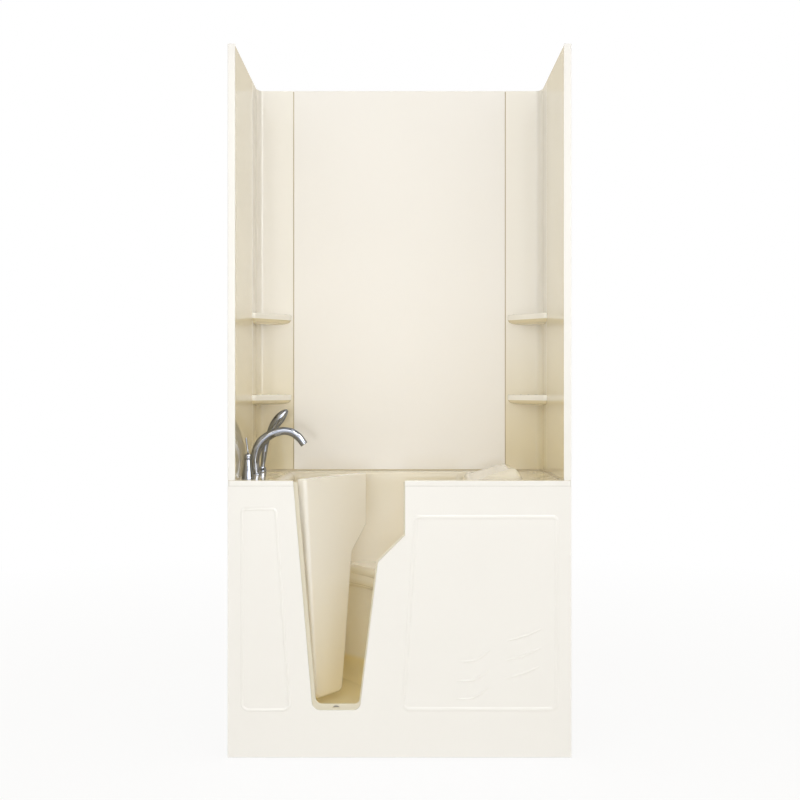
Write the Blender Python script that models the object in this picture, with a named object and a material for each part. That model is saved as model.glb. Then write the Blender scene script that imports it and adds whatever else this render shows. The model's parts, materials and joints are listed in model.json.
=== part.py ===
# Walk-in bathtub with an inward-swinging door, a deck-mounted filler set and a three-wall surround.
# Metres, +Z up, +X to the right, +Y from the front apron towards the back wall.
# Depths are measured backwards from the face of the apron, heights from the floor.
import bpy
import bmesh
from math import cos, sin, pi, radians, hypot, atan2
from mathutils import Matrix, Vector

# Overall sizes
tub_width = 1.194
tub_depth = 0.686
rim_height = 0.965
panel_height = 1.5125      # surround panels above the rim
deck_fall = 0.011          # the deck is this much lower at the back
shell_wall = 0.005
touch_gap = 0.0003         # between pieces that seat on each other
overrun = 0.004            # how far a cutter runs past the face it cuts

# Rim and deck
lip_drop = 0.019
lip_edge = 0.003
lip_corner = 0.009
deck_side_share = 0.26633  # side deck as a share of the half width, from the tub's side to the basin
deck_round = 0.025
front_wall_depth = 0.048   # inner face of the basin's front wall
front_round = 0.017
rear_deck = 0.086          # from the basin's rear wall to the tub's back
front_corner = 0.012
rear_corner = 0.030
corner_limit_share = 0.45  # most that a rear corner may take of the wall that it rounds

# Backrest and headrest at the right end
# Places across the tub are shares of its half width
headrest_foot_share = 0.73199   # where the deck starts to rise
headrest_end_share = 0.46901    # where the headrest has come down again
crest_rise = 0.036
crest_fall = 0.002
backrest_bend_share = 0.42211
backrest_bend_fall = 0.018
backrest_share = 0.41039
backrest_fall = 0.050
backrest_lean = 0.012
headrest_front_depth = 0.080
headrest_rear_inset = 0.134     # from the headrest's rear end to the tub's back
headrest_fade = 0.045

# Seat and foot well
seat_height = 0.600
seat_cove = 0.032
nose_front_share = -0.08375
nose_rear_share = -0.45226
nose_power = 2.8           # how late the nose turns towards the rear
bead_radius = 0.0185
bead_bulge = 0.014
nose_recess = 0.034
nose_wall_rise = 0.052     # on the left wall, the nose's first ring runs this much above the seat
floor_height = 0.160
floor_cove = 0.075
front_cove = 0.012

# Door opening in the apron: its corners as shares of the half width, and their heights
opening_left_share = -0.61977
opening_left_foot_share = -0.50653
opening_right_foot_share = -0.23216
opening_foot_height = 0.167
notch_share = -0.12630
notch_height = 0.6807
shoulder_share = 0.03183
shoulder_height_share = 0.32817  # of the way from the notch to the rim
opening_left_radius = 0.030
opening_right_radius = 0.025
notch_radius = 0.020
shoulder_radius = 0.004
least_radius = 0.001
stop_left_radius = 0.024   # corners of the stop flange's own edge
stop_right_radius = 0.017
corner_steps = 4

# Apron
apron_wall = 0.004
apron_return = 0.008
apron_clearance = 0.003    # above the floor
bead_proud = 0.003
left_bead_width = 0.014
right_bead_width = 0.019
bead_top_corner = 0.020
bead_foot_corner = 0.030
panel_margin = 0.043
left_frame_top_share = -0.71022
left_frame_foot_share = -0.62647
right_frame_top_share = 0.07873
right_frame_foot_share = 0.00335
left_frame_drop = 0.092     # from the rim to the bead frame's top
right_frame_drop = 0.118
frame_foot = 0.161
ripple_width = 0.007
ripple_proud = 0.0022

# Ripple strokes, as shares of the right panel's width and height: two groups that step down
upper_ripple_share = ((0.661, 0.359), (0.794, 0.389), (0.904, 0.427))
lower_ripple_share = ((0.359, 0.257), (0.471, 0.264), (0.576, 0.319))
ripple_step_share = ((0, 0), (-0.007, -0.099), (-0.013, -0.191))

# Door jamb behind the apron
jamb_depth = apron_return + touch_gap
stop_wall = 0.004
stop_left = 0.014          # the stop flange shows this much inside the opening
stop_foot = 0.021
stop_right = 0.005
stop_seat = 0.030          # the flange's whole width
jamb_top = rim_height - 0.006
weep_width = 0.026
weep_height = 0.011
weep_from_stop = 0.011

# Door
door_face_depth = 0.016
door_back_depth = 0.050
door_bevel = 0.014
door_overlap = 0.008
door_clearance = 0.006
door_wall = 0.004
liner_wall = 0.0055
door_top = rim_height + 0.001
hinge_inset = 0.006         # from the opening's left edge to the hinges' axis
hinge_depth = 0.056
door_open_angle = radians(57)
seal_inset = 0.002
seal_width = 0.010
seal_height = 0.003

# Hinges
upper_hinge_drop = 0.105    # below the rim
lower_hinge_rise = 0.163    # above the opening's foot
hinge_height = 0.075
knuckle_radius = 0.006
knuckle_bore = 0.0035
pin_radius = 0.003
pin_head = 0.0055
pin_head_height = 0.003
leaf_wall = 0.0022
tab_step = 0.0006           # the tabs stand this much behind their leaf
frame_leaf_width = 0.030
door_leaf_grip = 0.036

# Latch
latch_inset = 0.041         # from the opening's right edge to the spindle
latch_height_share = 0.37173 # of the way from the shoulder to the rim
escutcheon_radius = 0.024
escutcheon_wall = 0.003
tongue_length = 0.078
tongue_width = 0.016
tongue_wall = 0.004
spindle_radius = 0.007
handle_length = 0.115
handle_width = 0.022
handle_wall = 0.009
handle_stand = 0.016
keeper_width = 0.030
keeper_height = 0.050
keeper_wall = 0.003
keeper_clearance = 0.0035

# Wall surround
wall_thickness = 0.005
trim_width = 0.026
trim_depth = 0.022
trim_rise = 0.005          # the edge trims stand this much above the panels
corner_back_leg = 0.146
corner_side_leg = 0.176
cove_width = 0.025
cove_depth = 0.047
cove_steps = 6
seam_width = 0.003
side_joint = 0.0008
seal_bead = 0.005

# Corner shelves
shelf_back_leg = 0.136
shelf_side_leg = 0.181
shelf_thickness = 0.024
shelf_belly = 0.016
shelf_edge = 0.004
shelf_bulge = 0.010
upper_shelf_rise = 0.612    # above the rim
lower_shelf_rise = 0.293
shelf_foot_share = 0.80

# Filler set on the left deck
deck_set_inset = 0.059      # from the tub's left side
valve_depth = 0.098
valve_base_radius = 0.0215
valve_neck_radius = 0.0125
valve_height = 0.070
valve_head_height = 0.020
lever_length = 0.052
lever_radius = 0.0030
lever_lean = radians(-8)
spout_depth_share = 0.5277  # of the tub's depth
spout_reach = 0.179
spout_rise = 0.164
spout_radius = 0.018
spout_flange_radius = 0.019
spout_flange_height = 0.005
shower_inset = 0.134        # from the tub's back
shower_rise = 0.235
shower_reach = 0.100
shower_width = 0.0195      # half sizes of the hand shower's head
shower_thick = 0.0285
shower_lean = radians(6.6)
cradle_radius = 0.0175
cradle_height = 0.020
cradle_bore = 0.0095
cradle_floor = 0.006
shank_radius = 0.011
shank_length = 0.038
nut_radius = 0.020
nut_height = 0.009
hole_clearance = 0.0007

# Waste and overflow
drain_share = -0.46901
drain_inset = 0.120         # from the basin's rear wall
drain_flange_radius = 0.036
drain_flange_wall = 0.0025
drain_tube_radius = 0.021
drain_bore = 0.0175
drain_length = 0.072
stopper_radius = 0.026
stopper_wall = 0.004
stem_radius = 0.004
stem_length = 0.030
overflow_drop = 0.125       # below the rim
overflow_radius = 0.036
overflow_wall = 0.004
overflow_bore = 0.0165
knob_radius = 0.024
knob_height = 0.014
tube_radius = 0.014
tube_bore = 0.0115
tube_bend = 0.030
tube_stand = 0.034

# Support frame
rail_size = 0.025
rail_wall = 0.002
rail_height = 0.045        # underside of the base rails
rail_front_depth = 0.020
rail_side_inset = 0.014
foot_radius = 0.020
foot_pad = 0.008
foot_stud_radius = 0.006
foot_nut_radius = 0.011
foot_nut_height = 0.008
well_bar_left_share = -0.53601
well_bar_right_share = -0.33501
well_block_front_share = 0.1385
well_block_rear_share = 0.5831
seat_rail_share = 0.1675

round_sides = 20
small_sides = 12
pivot_size = 0.05

# Front face of the apron, so that the beads and the back wall lie evenly about the origin
front_y = -(tub_depth - bead_proud) / 2
half_width = tub_width / 2

# Places across the tub
deck_side = deck_side_share * half_width
basin_left_x = -(half_width - deck_side - deck_round)
wall_face_x = half_width - trim_width   # inner face of the surround's side walls
deck_set_x = -(half_width - deck_set_inset)
headrest_foot_x, headrest_end_x = headrest_foot_share * half_width, headrest_end_share * half_width
backrest_bend_x, backrest_x = backrest_bend_share * half_width, backrest_share * half_width
nose_front_x, nose_rear_x = nose_front_share * half_width, nose_rear_share * half_width
opening_left_x, opening_left_foot_x = opening_left_share * half_width, opening_left_foot_share * half_width
opening_right_foot_x, notch_x = opening_right_foot_share * half_width, notch_share * half_width
shoulder_x = shoulder_share * half_width
left_frame_top_x, left_frame_foot_x = left_frame_top_share * half_width, left_frame_foot_share * half_width
right_frame_top_x = right_frame_top_share * half_width
right_frame_foot_x = right_frame_foot_share * half_width
hinge_x = opening_left_x + hinge_inset
latch_x = shoulder_x - latch_inset
drain_x = drain_share * half_width
well_bar_left_x, well_bar_right_x = well_bar_left_share * half_width, well_bar_right_share * half_width
seat_rail_x = seat_rail_share * half_width

# Depths and heights that follow from the sizes above
rear_wall_depth = tub_depth - rear_deck
headrest_rear_depth = tub_depth - headrest_rear_inset
spout_depth = spout_depth_share * tub_depth
shower_depth = tub_depth - shower_inset
drain_depth = rear_wall_depth - drain_inset
well_block_front, well_block_rear = well_block_front_share * tub_depth, well_block_rear_share * tub_depth
left_frame_top, right_frame_top = rim_height - left_frame_drop, rim_height - right_frame_drop
upper_hinge_height = rim_height - upper_hinge_drop
lower_hinge_height = opening_foot_height + lower_hinge_rise
upper_shelf_top, lower_shelf_top = rim_height + upper_shelf_rise, rim_height + lower_shelf_rise
overflow_height = rim_height - overflow_drop
shoulder_height = notch_height + shoulder_height_share * (rim_height - notch_height)
latch_height = shoulder_height + latch_height_share * (rim_height - shoulder_height)
panel_top = rim_height + panel_height


def y_at(depth):
    return front_y + depth


def deck_at(depth):
    """Height of the deck's top, which falls towards the back."""
    return rim_height - deck_fall * depth / tub_depth


def make_material(name, colour, roughness, metallic=0.0):
    material = bpy.data.materials.new(name)
    material.use_nodes = True
    shader = material.node_tree.nodes["Principled BSDF"]
    shader.inputs["Base Color"].default_value = (*colour, 1.0)
    shader.inputs["Roughness"].default_value = roughness
    shader.inputs["Metallic"].default_value = metallic
    return material


def skin(name, rings, material, looped=False):
    """One closed body from equal rings of points, its ends capped, or joined to each other."""
    shape = bmesh.new()
    rows = [[shape.verts.new(point) for point in ring] for ring in rings]
    pairs = list(zip(rows, rows[1:]))
    if looped:
        pairs.append((rows[-1], rows[0]))
    for first, second in pairs:
        for index in range(len(first)):
            after = (index + 1) % len(first)
            shape.faces.new((first[index], first[after], second[after], second[index]))
    if not looped:
        shape.faces.new(rows[0])
        shape.faces.new(list(reversed(rows[-1])))
    return finish_mesh(name, shape, material)


def finish_mesh(name, shape, material, crease=35):
    bmesh.ops.recalc_face_normals(shape, faces=shape.faces)
    mesh = bpy.data.meshes.new(name)
    shape.to_mesh(mesh)
    shape.free()
    mesh.shade_smooth()
    mesh.set_sharp_from_angle(angle=radians(crease))
    mesh.materials.append(material)
    thing = bpy.data.objects.new(name, mesh)
    bpy.context.scene.collection.objects.link(thing)
    return thing


def combine(target, tool, operation):
    """Cuts the tool from the target or joins it on, and removes the tool."""
    modifier = target.modifiers.new(operation.lower(), 'BOOLEAN')
    modifier.operation = operation
    modifier.solver = 'EXACT'
    modifier.object = tool
    bpy.context.view_layer.update()
    graph = bpy.context.evaluated_depsgraph_get()
    mesh = bpy.data.meshes.new_from_object(target.evaluated_get(graph))
    mesh.name = target.name
    target.modifiers.remove(modifier)
    target.data = mesh
    mesh.shade_smooth()
    mesh.set_sharp_from_angle(angle=radians(35))
    bpy.data.objects.remove(tool)
    return target


def cut(target, tool):
    return combine(target, tool, 'DIFFERENCE')


def fuse(target, tool):
    return combine(target, tool, 'UNION')


def block(name, low, high, material):
    """A box between two corners, given as x, depth and height."""
    ring = [(low[0], low[1]), (high[0], low[1]), (high[0], high[1]), (low[0], high[1])]
    rings = [[(x, y_at(depth), z) for x, depth in ring] for z in (low[2], high[2])]
    return skin(name, rings, material)


def square_tube(name, start, end, along, material):
    """A square steel tube with open ends; start and end are its lowest and highest corners."""
    low, high = Vector(start), Vector(end)
    sides = [axis for axis in range(3) if axis != along]
    rings = []
    for wall, stop in ((0, low), (0, high), (rail_wall, high), (rail_wall, low)):
        ring = []
        for first, second in ((0, 0), (1, 0), (1, 1), (0, 1)):
            point = [0.0, 0.0, 0.0]
            point[along] = stop[along]
            for axis, far in zip(sides, (first, second)):
                point[axis] = high[axis] - wall if far else low[axis] + wall
            ring.append((point[0], y_at(point[1]), point[2]))
        rings.append(ring)
    return skin(name, rings, material, looped=True)


def circle(radius, sides):
    return [(radius * cos(2 * pi * k / sides), radius * sin(2 * pi * k / sides)) for k in range(sides)]


def turned(name, profile, material, frame, sides=round_sides, looped=False):
    """A turned piece: radius and height pairs about the frame's Z axis."""
    rings = [[frame @ Vector((x, y, height)) for x, y in circle(radius, sides)]
             for radius, height in profile]
    return skin(name, rings, material, looped)


def upright(x, depth, height):
    return Matrix.Translation((x, y_at(depth), height))


def along_y(x, depth, height):
    """A frame whose Z axis points to the back of the tub."""
    return Matrix.Translation((x, y_at(depth), height)) @ Matrix.Rotation(radians(-90), 4, 'X')


def along_x(x, depth, height):
    """A frame whose Z axis points to the right."""
    return Matrix.Translation((x, y_at(depth), height)) @ Matrix.Rotation(radians(90), 4, 'Y')


def smooth_line(points, steps):
    """A Catmull-Rom line through the points, with so many steps between two of them."""
    line = []
    for index in range(len(points) - 1):
        before = Vector(points[max(index - 1, 0)])
        first, second = Vector(points[index]), Vector(points[index + 1])
        after = Vector(points[min(index + 2, len(points) - 1)])
        for step in range(steps):
            t = step / steps
            line.append(0.5 * (2 * first + (second - before) * t
                               + (2 * before - 5 * first + 4 * second - after) * t * t
                               + (3 * first - before - 3 * second + after) * t * t * t))
    line.append(Vector(points[-1]))
    return line


def arch(name, stations, depth, material, steps=3, sides=small_sides):
    """A round-sectioned arm in one upright plane: stations hold x, height, radius and half depth."""
    line = smooth_line(stations, steps)
    rings = []
    for index, station in enumerate(line):
        before, after = line[max(index - 1, 0)], line[min(index + 1, len(line) - 1)]
        angle = atan2(after[1] - before[1], after[0] - before[0])
        ring = []
        for across, deep in circle(1, sides):
            ring.append((station[0] - sin(angle) * across * station[2],
                         y_at(depth) + deep * station[3],
                         station[1] + cos(angle) * across * station[2]))
        rings.append(ring)
    return skin(name, rings, material)


# Outlines of the door opening

def opening_corners():
    return [(opening_left_x, rim_height), (opening_left_foot_x, opening_foot_height),
            (opening_right_foot_x, opening_foot_height), (notch_x, notch_height),
            (shoulder_x, shoulder_height), (shoulder_x, rim_height)]


def opening_outline(offset, top, inner=False):
    """The opening's outline from the top left, down and up to the top right, moved outwards.

    An inner outline starts from the stop flange's edge and not from the apron's.
    """
    corners = opening_corners()
    if inner:
        moves = [offset - stop_left, offset - stop_foot] + [offset - stop_right] * 3
        foot_radii = [stop_left_radius + offset, stop_right_radius + offset]
    else:
        moves = [offset] * 5
        foot_radii = [opening_left_radius + offset, opening_right_radius + offset]
    edges = []
    for (x1, z1), (x2, z2), move in zip(corners, corners[1:], moves):
        length = hypot(x2 - x1, z2 - z1)
        dx, dz = (x2 - x1) / length, (z2 - z1) / length
        edges.append((x1 + dz * move, z1 - dx * move, dx, dz))
    met = [edge_at_height(edges[0], top)]
    met += [meet(first, second) for first, second in zip(edges, edges[1:])]
    met.append(edge_at_height(edges[-1], top))
    radii = foot_radii + [notch_radius - moves[2], shoulder_radius + moves[3]]
    outline = [met[0]]
    for index, radius in enumerate(radii):
        outline += rounded_corner(met[index], met[index + 1], met[index + 2], max(radius, least_radius))
    return outline + [met[-1]]


def edge_at_height(edge, height):
    x, z, dx, dz = edge
    return x + dx * (height - z) / dz, height


def meet(first, second):
    x1, z1, dx1, dz1 = first
    x2, z2, dx2, dz2 = second
    t = ((x2 - x1) * dz2 - (z2 - z1) * dx2) / (dx1 * dz2 - dz1 * dx2)
    return x1 + dx1 * t, z1 + dz1 * t


def rounded_corner(before, corner, after, radius, steps=corner_steps):
    """Arc points that replace a corner between two straight edges."""
    here = Vector(corner)
    back, ahead = (Vector(before) - here).normalized(), (Vector(after) - here).normalized()
    half = back.angle(ahead) / 2
    reach = radius * cos(half) / sin(half)
    centre = here + (back + ahead).normalized() * radius / sin(half)
    start = here + back * reach - centre
    finish = here + ahead * reach - centre
    turn = start.angle_signed(finish)
    points = []
    for step in range(steps + 1):
        angle = -turn * step / steps
        points.append((centre.x + start.x * cos(angle) - start.y * sin(angle),
                       centre.y + start.x * sin(angle) + start.y * cos(angle)))
    return points


def opening_band(name, section, top, material):
    """A strip round the opening: the section holds offsets from the stop's edge, and depths."""
    lines = [opening_outline(offset, top, inner=True) for offset, _ in section]
    rings = [[(line[place][0], y_at(depth), line[place][1]) for line, (_, depth) in zip(lines, section)]
             for place in range(len(lines[0]))]
    return skin(name, rings, material)


def opening_prism(name, rings, material, looped=False):
    """A solid of the opening's shape: each ring has an offset from the stop's edge, a depth and a top."""
    return skin(name, [[(x, y_at(depth), z) for x, z in opening_outline(offset, top, inner=True)]
                       for offset, depth, top in rings], material, looped)


# Tub shell

def nose_x(depth):
    """Plan curve of the seat's nose: it leaves the front wall square and turns left at the rear."""
    share = (depth - front_wall_depth) / (rear_wall_depth - front_wall_depth)
    return nose_front_x + (nose_rear_x - nose_front_x) * max(share, 0) ** nose_power


def smooth_step(value):
    value = min(max(value, 0.0), 1.0)
    return value * value * (3 - 2 * value)


def headrest_share(depth):
    """How much of the headrest's rise there is at a depth: none at its two ends."""
    return (smooth_step((depth - headrest_front_depth) / headrest_fade)
            * smooth_step((headrest_rear_depth - depth) / headrest_fade))


def ring_places(left, right, front, rear, corner_front, corner_rear):
    """Points of a rounded rectangle in plan, each with its share of the way from left to right.

    left and right are functions of depth.
    """
    arc_steps, side_steps, front_steps = 3, 9, 6
    corner_rear = min(corner_rear, corner_limit_share * (right(rear) - left(rear)))
    places = []

    def arc(side, depth, radius, start_angle, share):
        for step in range(arc_steps + 1):
            angle = radians(start_angle + 90 * step / arc_steps)
            spot = depth + radius * sin(angle)
            edge = side(spot)
            inward = radius * (1 - abs(cos(angle)))
            places.append((edge - inward if share else edge + inward, spot, share))

    def straight(start, end, steps, shares):
        for step in range(1, steps):
            t = step / steps
            depth = start[1] + (end[1] - start[1]) * t
            if shares is None:
                places.append((start[0] + (end[0] - start[0]) * t, depth, None))
            else:
                places.append((shares[0](depth), depth, shares[1]))

    arc(right, front + corner_front, corner_front, -90, 1)
    straight((0, front + corner_front), (0, rear - corner_rear), side_steps, (right, 1))
    arc(right, rear - corner_rear, corner_rear, 0, 1)
    straight((right(rear) - corner_rear, rear), (left(rear) + corner_rear, rear), front_steps, None)
    arc(left, rear - corner_rear, corner_rear, 90, 0)
    straight((0, rear - corner_rear), (0, front + corner_front), side_steps, (left, 0))
    arc(left, front + corner_front, corner_front, 180, 0)
    straight((left(front) + corner_front, front), (right(front) - corner_front, front), front_steps, None)

    low, high = left(front) + corner_front, right(front) - corner_front
    return [(x, depth, (x - low) / (high - low) if share is None else share)
            for x, depth, share in places]


def tub_rings():
    """Rings of the shell's visible face, from the lip over the deck and down to the well floor."""
    rings = []

    def add(places, height):
        rings.append([(x, y_at(depth), height(depth, share)) for x, depth, share in places])

    for inset, drop in ((0, lip_drop), (0, lip_edge), (lip_edge, 0)):
        places = ring_places(lambda depth: -half_width + inset, lambda depth: half_width - inset,
                             inset, tub_depth - inset, lip_corner, lip_corner)
        add(places, lambda depth, share: deck_at(depth) - drop)

    # The basin's rounded edge, which at the right end climbs over the headrest's crest
    crest_shares = ((0, 0), (0.083, 0.72), (0.21, 1), (0.586, 0.58), (1, 0))
    right_end = [(headrest_foot_x + (headrest_end_x - headrest_foot_x) * along, crest_rise * up,
                  crest_fall * step / 4) for step, (along, up) in enumerate(crest_shares)]
    right_end += [(backrest_bend_x, 0, backrest_bend_fall), (backrest_x, 0, backrest_fall)]
    for step, (right_x, rise, fall) in enumerate(right_end):
        angle = radians(15 * step)
        left_x = basin_left_x - deck_round * (1 - sin(angle))
        front = front_wall_depth - front_round * (1 - sin(angle))
        rear = rear_wall_depth + deck_round * (1 - sin(angle))
        places = ring_places(lambda depth: left_x, lambda depth: right_x, front, rear,
                             front_corner, rear_corner)
        drop = deck_round * (1 - cos(angle))
        add(places, lambda depth, share: deck_at(depth) - drop + share
            * (drop - fall + rise * headrest_share(depth)))

    # Wall, seat, double-beaded nose, riser and floor cove: right end, its height, inset of the walls
    riser_top = seat_height - 4 * bead_radius
    seat_back_x = backrest_x - backrest_lean
    profile = [
        (lambda depth: seat_back_x, seat_height + seat_cove),
        (lambda depth: seat_back_x - 0.3 * seat_cove, seat_height + 0.3 * seat_cove),
        (lambda depth: seat_back_x - seat_cove, seat_height),
    ]
    for bead in range(2):
        middle = seat_height - bead_radius * (2 * bead + 1)
        for angle in ((90, 50, 10, -30, -60), (30, 0, -40, -90))[bead]:
            inward = bead_bulge * (1 - cos(radians(angle)))
            profile.append((lambda depth, inward=inward: nose_x(depth) + inward,
                            middle + bead_radius * sin(radians(angle))))
    profile.append((lambda depth: nose_x(depth) + nose_recess, riser_top - bead_radius))
    left_top, left_foot = seat_height + nose_wall_rise, riser_top - bead_radius
    for index, (right, height) in enumerate(profile):
        places = ring_places(lambda depth: basin_left_x, right, front_wall_depth, rear_wall_depth,
                             front_corner, rear_corner)
        left_height = left_top + (left_foot - left_top) * index / (len(profile) - 1)
        add(places, lambda depth, share: left_height + (height - left_height) * share)
    for angle in (0, 25, 50, 72, 90):
        inset = floor_cove * (1 - cos(radians(angle)))
        places = ring_places(lambda depth: basin_left_x + inset,
                             lambda depth: nose_x(depth) + nose_recess - inset,
                             front_wall_depth + front_cove * (1 - cos(radians(angle))),
                             rear_wall_depth - inset, front_corner, rear_corner)
        level = floor_height + floor_cove * (1 - sin(radians(angle)))
        add(places, lambda depth, share: level)
    return rings


def make_tub_shell(acrylic):
    shape = bmesh.new()
    rows = [[shape.verts.new(point) for point in ring] for ring in tub_rings()]
    for first, second in zip(rows, rows[1:]):
        for index in range(len(first)):
            after = (index + 1) % len(first)
            shape.faces.new((first[index], first[after], second[after], second[index]))
    floor = shape.faces.new(rows[-1])
    shape.normal_update()
    if floor.normal.z < 0:
        bmesh.ops.reverse_faces(shape, faces=shape.faces)
    mesh = bpy.data.meshes.new("tub_shell")
    shape.to_mesh(mesh)
    shape.free()
    mesh.materials.append(acrylic)
    tub = bpy.data.objects.new("tub_shell", mesh)
    bpy.context.scene.collection.objects.link(tub)
    solidify = tub.modifiers.new("wall", 'SOLIDIFY')
    solidify.thickness = shell_wall
    solidify.offset = -1
    solidify.use_even_offset = True
    bpy.context.view_layer.update()
    tub.data = bpy.data.meshes.new_from_object(tub.evaluated_get(bpy.context.evaluated_depsgraph_get()))
    tub.modifiers.remove(solidify)

    wall_cut = door_clearance + door_overlap + stop_wall + touch_gap
    pocket = opening_prism("pocket", [(wall_cut, apron_return + overrun / 4, rim_height + overrun),
                                      (wall_cut, front_wall_depth + front_cove, rim_height + overrun)],
                           acrylic)
    cut(tub, pocket)
    mouth = skin("mouth", [[(x, y_at(depth), z) for x, z in opening_outline(0, rim_height + overrun)]
                           for depth in (-overrun, apron_return + overrun / 2)], acrylic)
    cut(tub, mouth)
    for depth in (valve_depth, spout_depth, shower_depth):
        level = deck_at(depth)
        hole = shank_radius + hole_clearance
        cut(tub, turned("hole", [(hole, level - shell_wall - overrun), (hole, level + overrun)],
                        acrylic, upright(deck_set_x, depth, 0), small_sides))
    hole = drain_tube_radius + hole_clearance
    cut(tub, turned("hole", [(hole, floor_height - shell_wall - overrun), (hole, floor_height + overrun)],
                    acrylic, upright(drain_x, drain_depth, 0)))
    cut(tub, turned("hole", [(overflow_bore, -shell_wall - overrun), (overflow_bore, overrun)],
                    acrylic, along_x(basin_left_x, drain_depth, overflow_height), small_sides))
    return tub


# Apron, jamb and seal

def frame_outline(corners, radii, offset):
    """A closed four-sided outline with round corners, moved inwards by the offset."""
    count = len(corners)
    edges = []
    for index in range(count):
        (x1, z1), (x2, z2) = corners[index], corners[(index + 1) % count]
        length = hypot(x2 - x1, z2 - z1)
        dx, dz = (x2 - x1) / length, (z2 - z1) / length
        edges.append((x1 - dz * offset, z1 + dx * offset, dx, dz))
    met = [meet(edges[index - 1], edges[index]) for index in range(count)]
    outline = []
    for index in range(count):
        outline += rounded_corner(met[index - 1], met[index], met[(index + 1) % count],
                                  max(radii[index] - offset, least_radius))
    return outline


def bead_frame(name, corners, width, material):
    """A raised half-round bead round a panel, its back sunk into the apron's face."""
    section = [(0, apron_wall / 8), (width * 0.22, -bead_proud * 0.75), (width * 0.5, -bead_proud),
               (width * 0.78, -bead_proud * 0.75), (width, apron_wall / 8)]
    radii = (bead_top_corner, bead_foot_corner, bead_foot_corner, bead_top_corner)
    lines = [frame_outline(corners, radii, inset) for inset, _ in section]
    rings = [[(line[place][0], y_at(depth), line[place][1]) for line, (_, depth) in zip(lines, section)]
             for place in range(len(lines[0]))]
    return skin(name, rings, material, looped=True)


def ripple(name, points, material):
    """One short raised stroke that thins out towards both ends."""
    line = smooth_line(points, 3)
    rings = []
    for index, spot in enumerate(line):
        t = index / (len(line) - 1)
        half = ripple_width / 2 * (0.25 + 0.75 * sin(pi * t) ** 0.6)
        before, after = line[max(index - 1, 0)], line[min(index + 1, len(line) - 1)]
        ahead = (after - before).normalized()
        side = Vector((-ahead.y, ahead.x)) * half
        rings.append([(spot.x + side.x, y_at(apron_wall / 8), spot.y + side.y),
                      (spot.x, y_at(-ripple_proud * (0.3 + 0.7 * sin(pi * t))), spot.y),
                      (spot.x - side.x, y_at(apron_wall / 8), spot.y - side.y)])
    return skin(name, rings, material)


def apron_outline(inset, top, foot):
    """The apron's outline in plan order, with the door opening let into its top edge."""
    mouth = opening_outline(inset, top)
    return ([(-half_width + inset, top), (-half_width + inset, foot), (half_width - inset, foot),
             (half_width - inset, top)] + list(reversed(mouth)))


def make_apron(acrylic):
    top = rim_height - lip_drop - touch_gap * 2
    apron = skin("front_apron", [[(x, y_at(depth), z) for x, z in apron_outline(0, top, apron_clearance)]
                                 for depth in (0, apron_return)], acrylic)
    tray = skin("tray", [[(x, y_at(depth), z)
                          for x, z in apron_outline(apron_wall, top - apron_wall,
                                                    apron_clearance + apron_wall)]
                         for depth in (apron_wall, apron_return + overrun)], acrylic)
    cut(apron, tray)
    left_x, right_x = -half_width + panel_margin, half_width - panel_margin
    left_frame = [(left_x, left_frame_top), (left_x, frame_foot), (left_frame_foot_x, frame_foot),
                  (left_frame_top_x, left_frame_top)]
    right_frame = [(right_frame_top_x, right_frame_top), (right_frame_foot_x, frame_foot),
                   (right_x, frame_foot), (right_x, right_frame_top)]
    fuse(apron, bead_frame("bead", left_frame, left_bead_width, acrylic))
    fuse(apron, bead_frame("bead", right_frame, right_bead_width, acrylic))

    wide, high = right_x - right_frame_foot_x, right_frame_top - frame_foot
    for group in (upper_ripple_share, lower_ripple_share):
        for move_x, move_z in ripple_step_share:
            stroke = [(right_frame_foot_x + wide * (x + move_x), frame_foot + high * (z + move_z))
                      for x, z in group]
            fuse(apron, ripple("stroke", stroke, acrylic))
    return apron


def make_jamb(acrylic):
    pocket = door_overlap + door_clearance
    back = jamb_depth + stop_wall
    section = [(0, jamb_depth), (stop_seat, jamb_depth), (stop_seat, back), (pocket + stop_wall, back),
               (pocket + stop_wall, front_wall_depth), (pocket, front_wall_depth), (pocket, back), (0, back)]
    jamb = opening_band("door_jamb", section, jamb_top, acrylic)
    middle_x = (opening_left_foot_x + opening_right_foot_x) / 2
    weep_z = opening_foot_height + stop_foot - weep_from_stop
    half, rise = weep_width / 2, weep_height / 2
    arc = [(middle_x + half * cos(radians(angle)), weep_z + rise * 2 * sin(radians(angle)) - rise)
           for angle in range(0, 181, 30)]
    weep = skin("weep", [[(x, y_at(depth), z) for x, z in arc]
                         for depth in (jamb_depth - overrun, back + overrun)], acrylic)
    return cut(jamb, weep)


def make_seal(rubber):
    front = jamb_depth + stop_wall + touch_gap
    section = [(seal_inset, front), (seal_inset + seal_width, front),
               (seal_inset + seal_width, front + seal_height * 0.7),
               (seal_inset + seal_width / 2, front + seal_height), (seal_inset, front + seal_height)]
    return opening_band("door_seal", section, jamb_top, rubber)


# Door, in its closed place; its parent turns it to the open rest pose

def make_door(acrylic):
    edge, face = door_overlap, door_overlap - door_bevel
    liner_front = door_back_depth - liner_wall
    back = liner_front - touch_gap
    top, inner_top = door_top, door_top - door_wall
    panel = opening_prism("door_panel", [
        (face, door_face_depth, top), (face + door_bevel * 0.55, door_face_depth + door_bevel * 0.16, top),
        (face + door_bevel * 0.88, door_face_depth + door_bevel * 0.52, top),
        (edge, door_face_depth + door_bevel, top), (edge, back, top),
        (edge - door_wall, back, inner_top),
        (edge - door_wall, door_face_depth + door_bevel + door_wall / 2, inner_top),
        (face - door_wall, door_face_depth + door_wall, inner_top)], acrylic)
    liner = opening_prism("door_liner", [
        (edge, liner_front, top), (edge, door_back_depth - liner_wall / 2, top),
        (edge - liner_wall / 2, door_back_depth, top)], acrylic)
    return [panel, liner]


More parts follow.
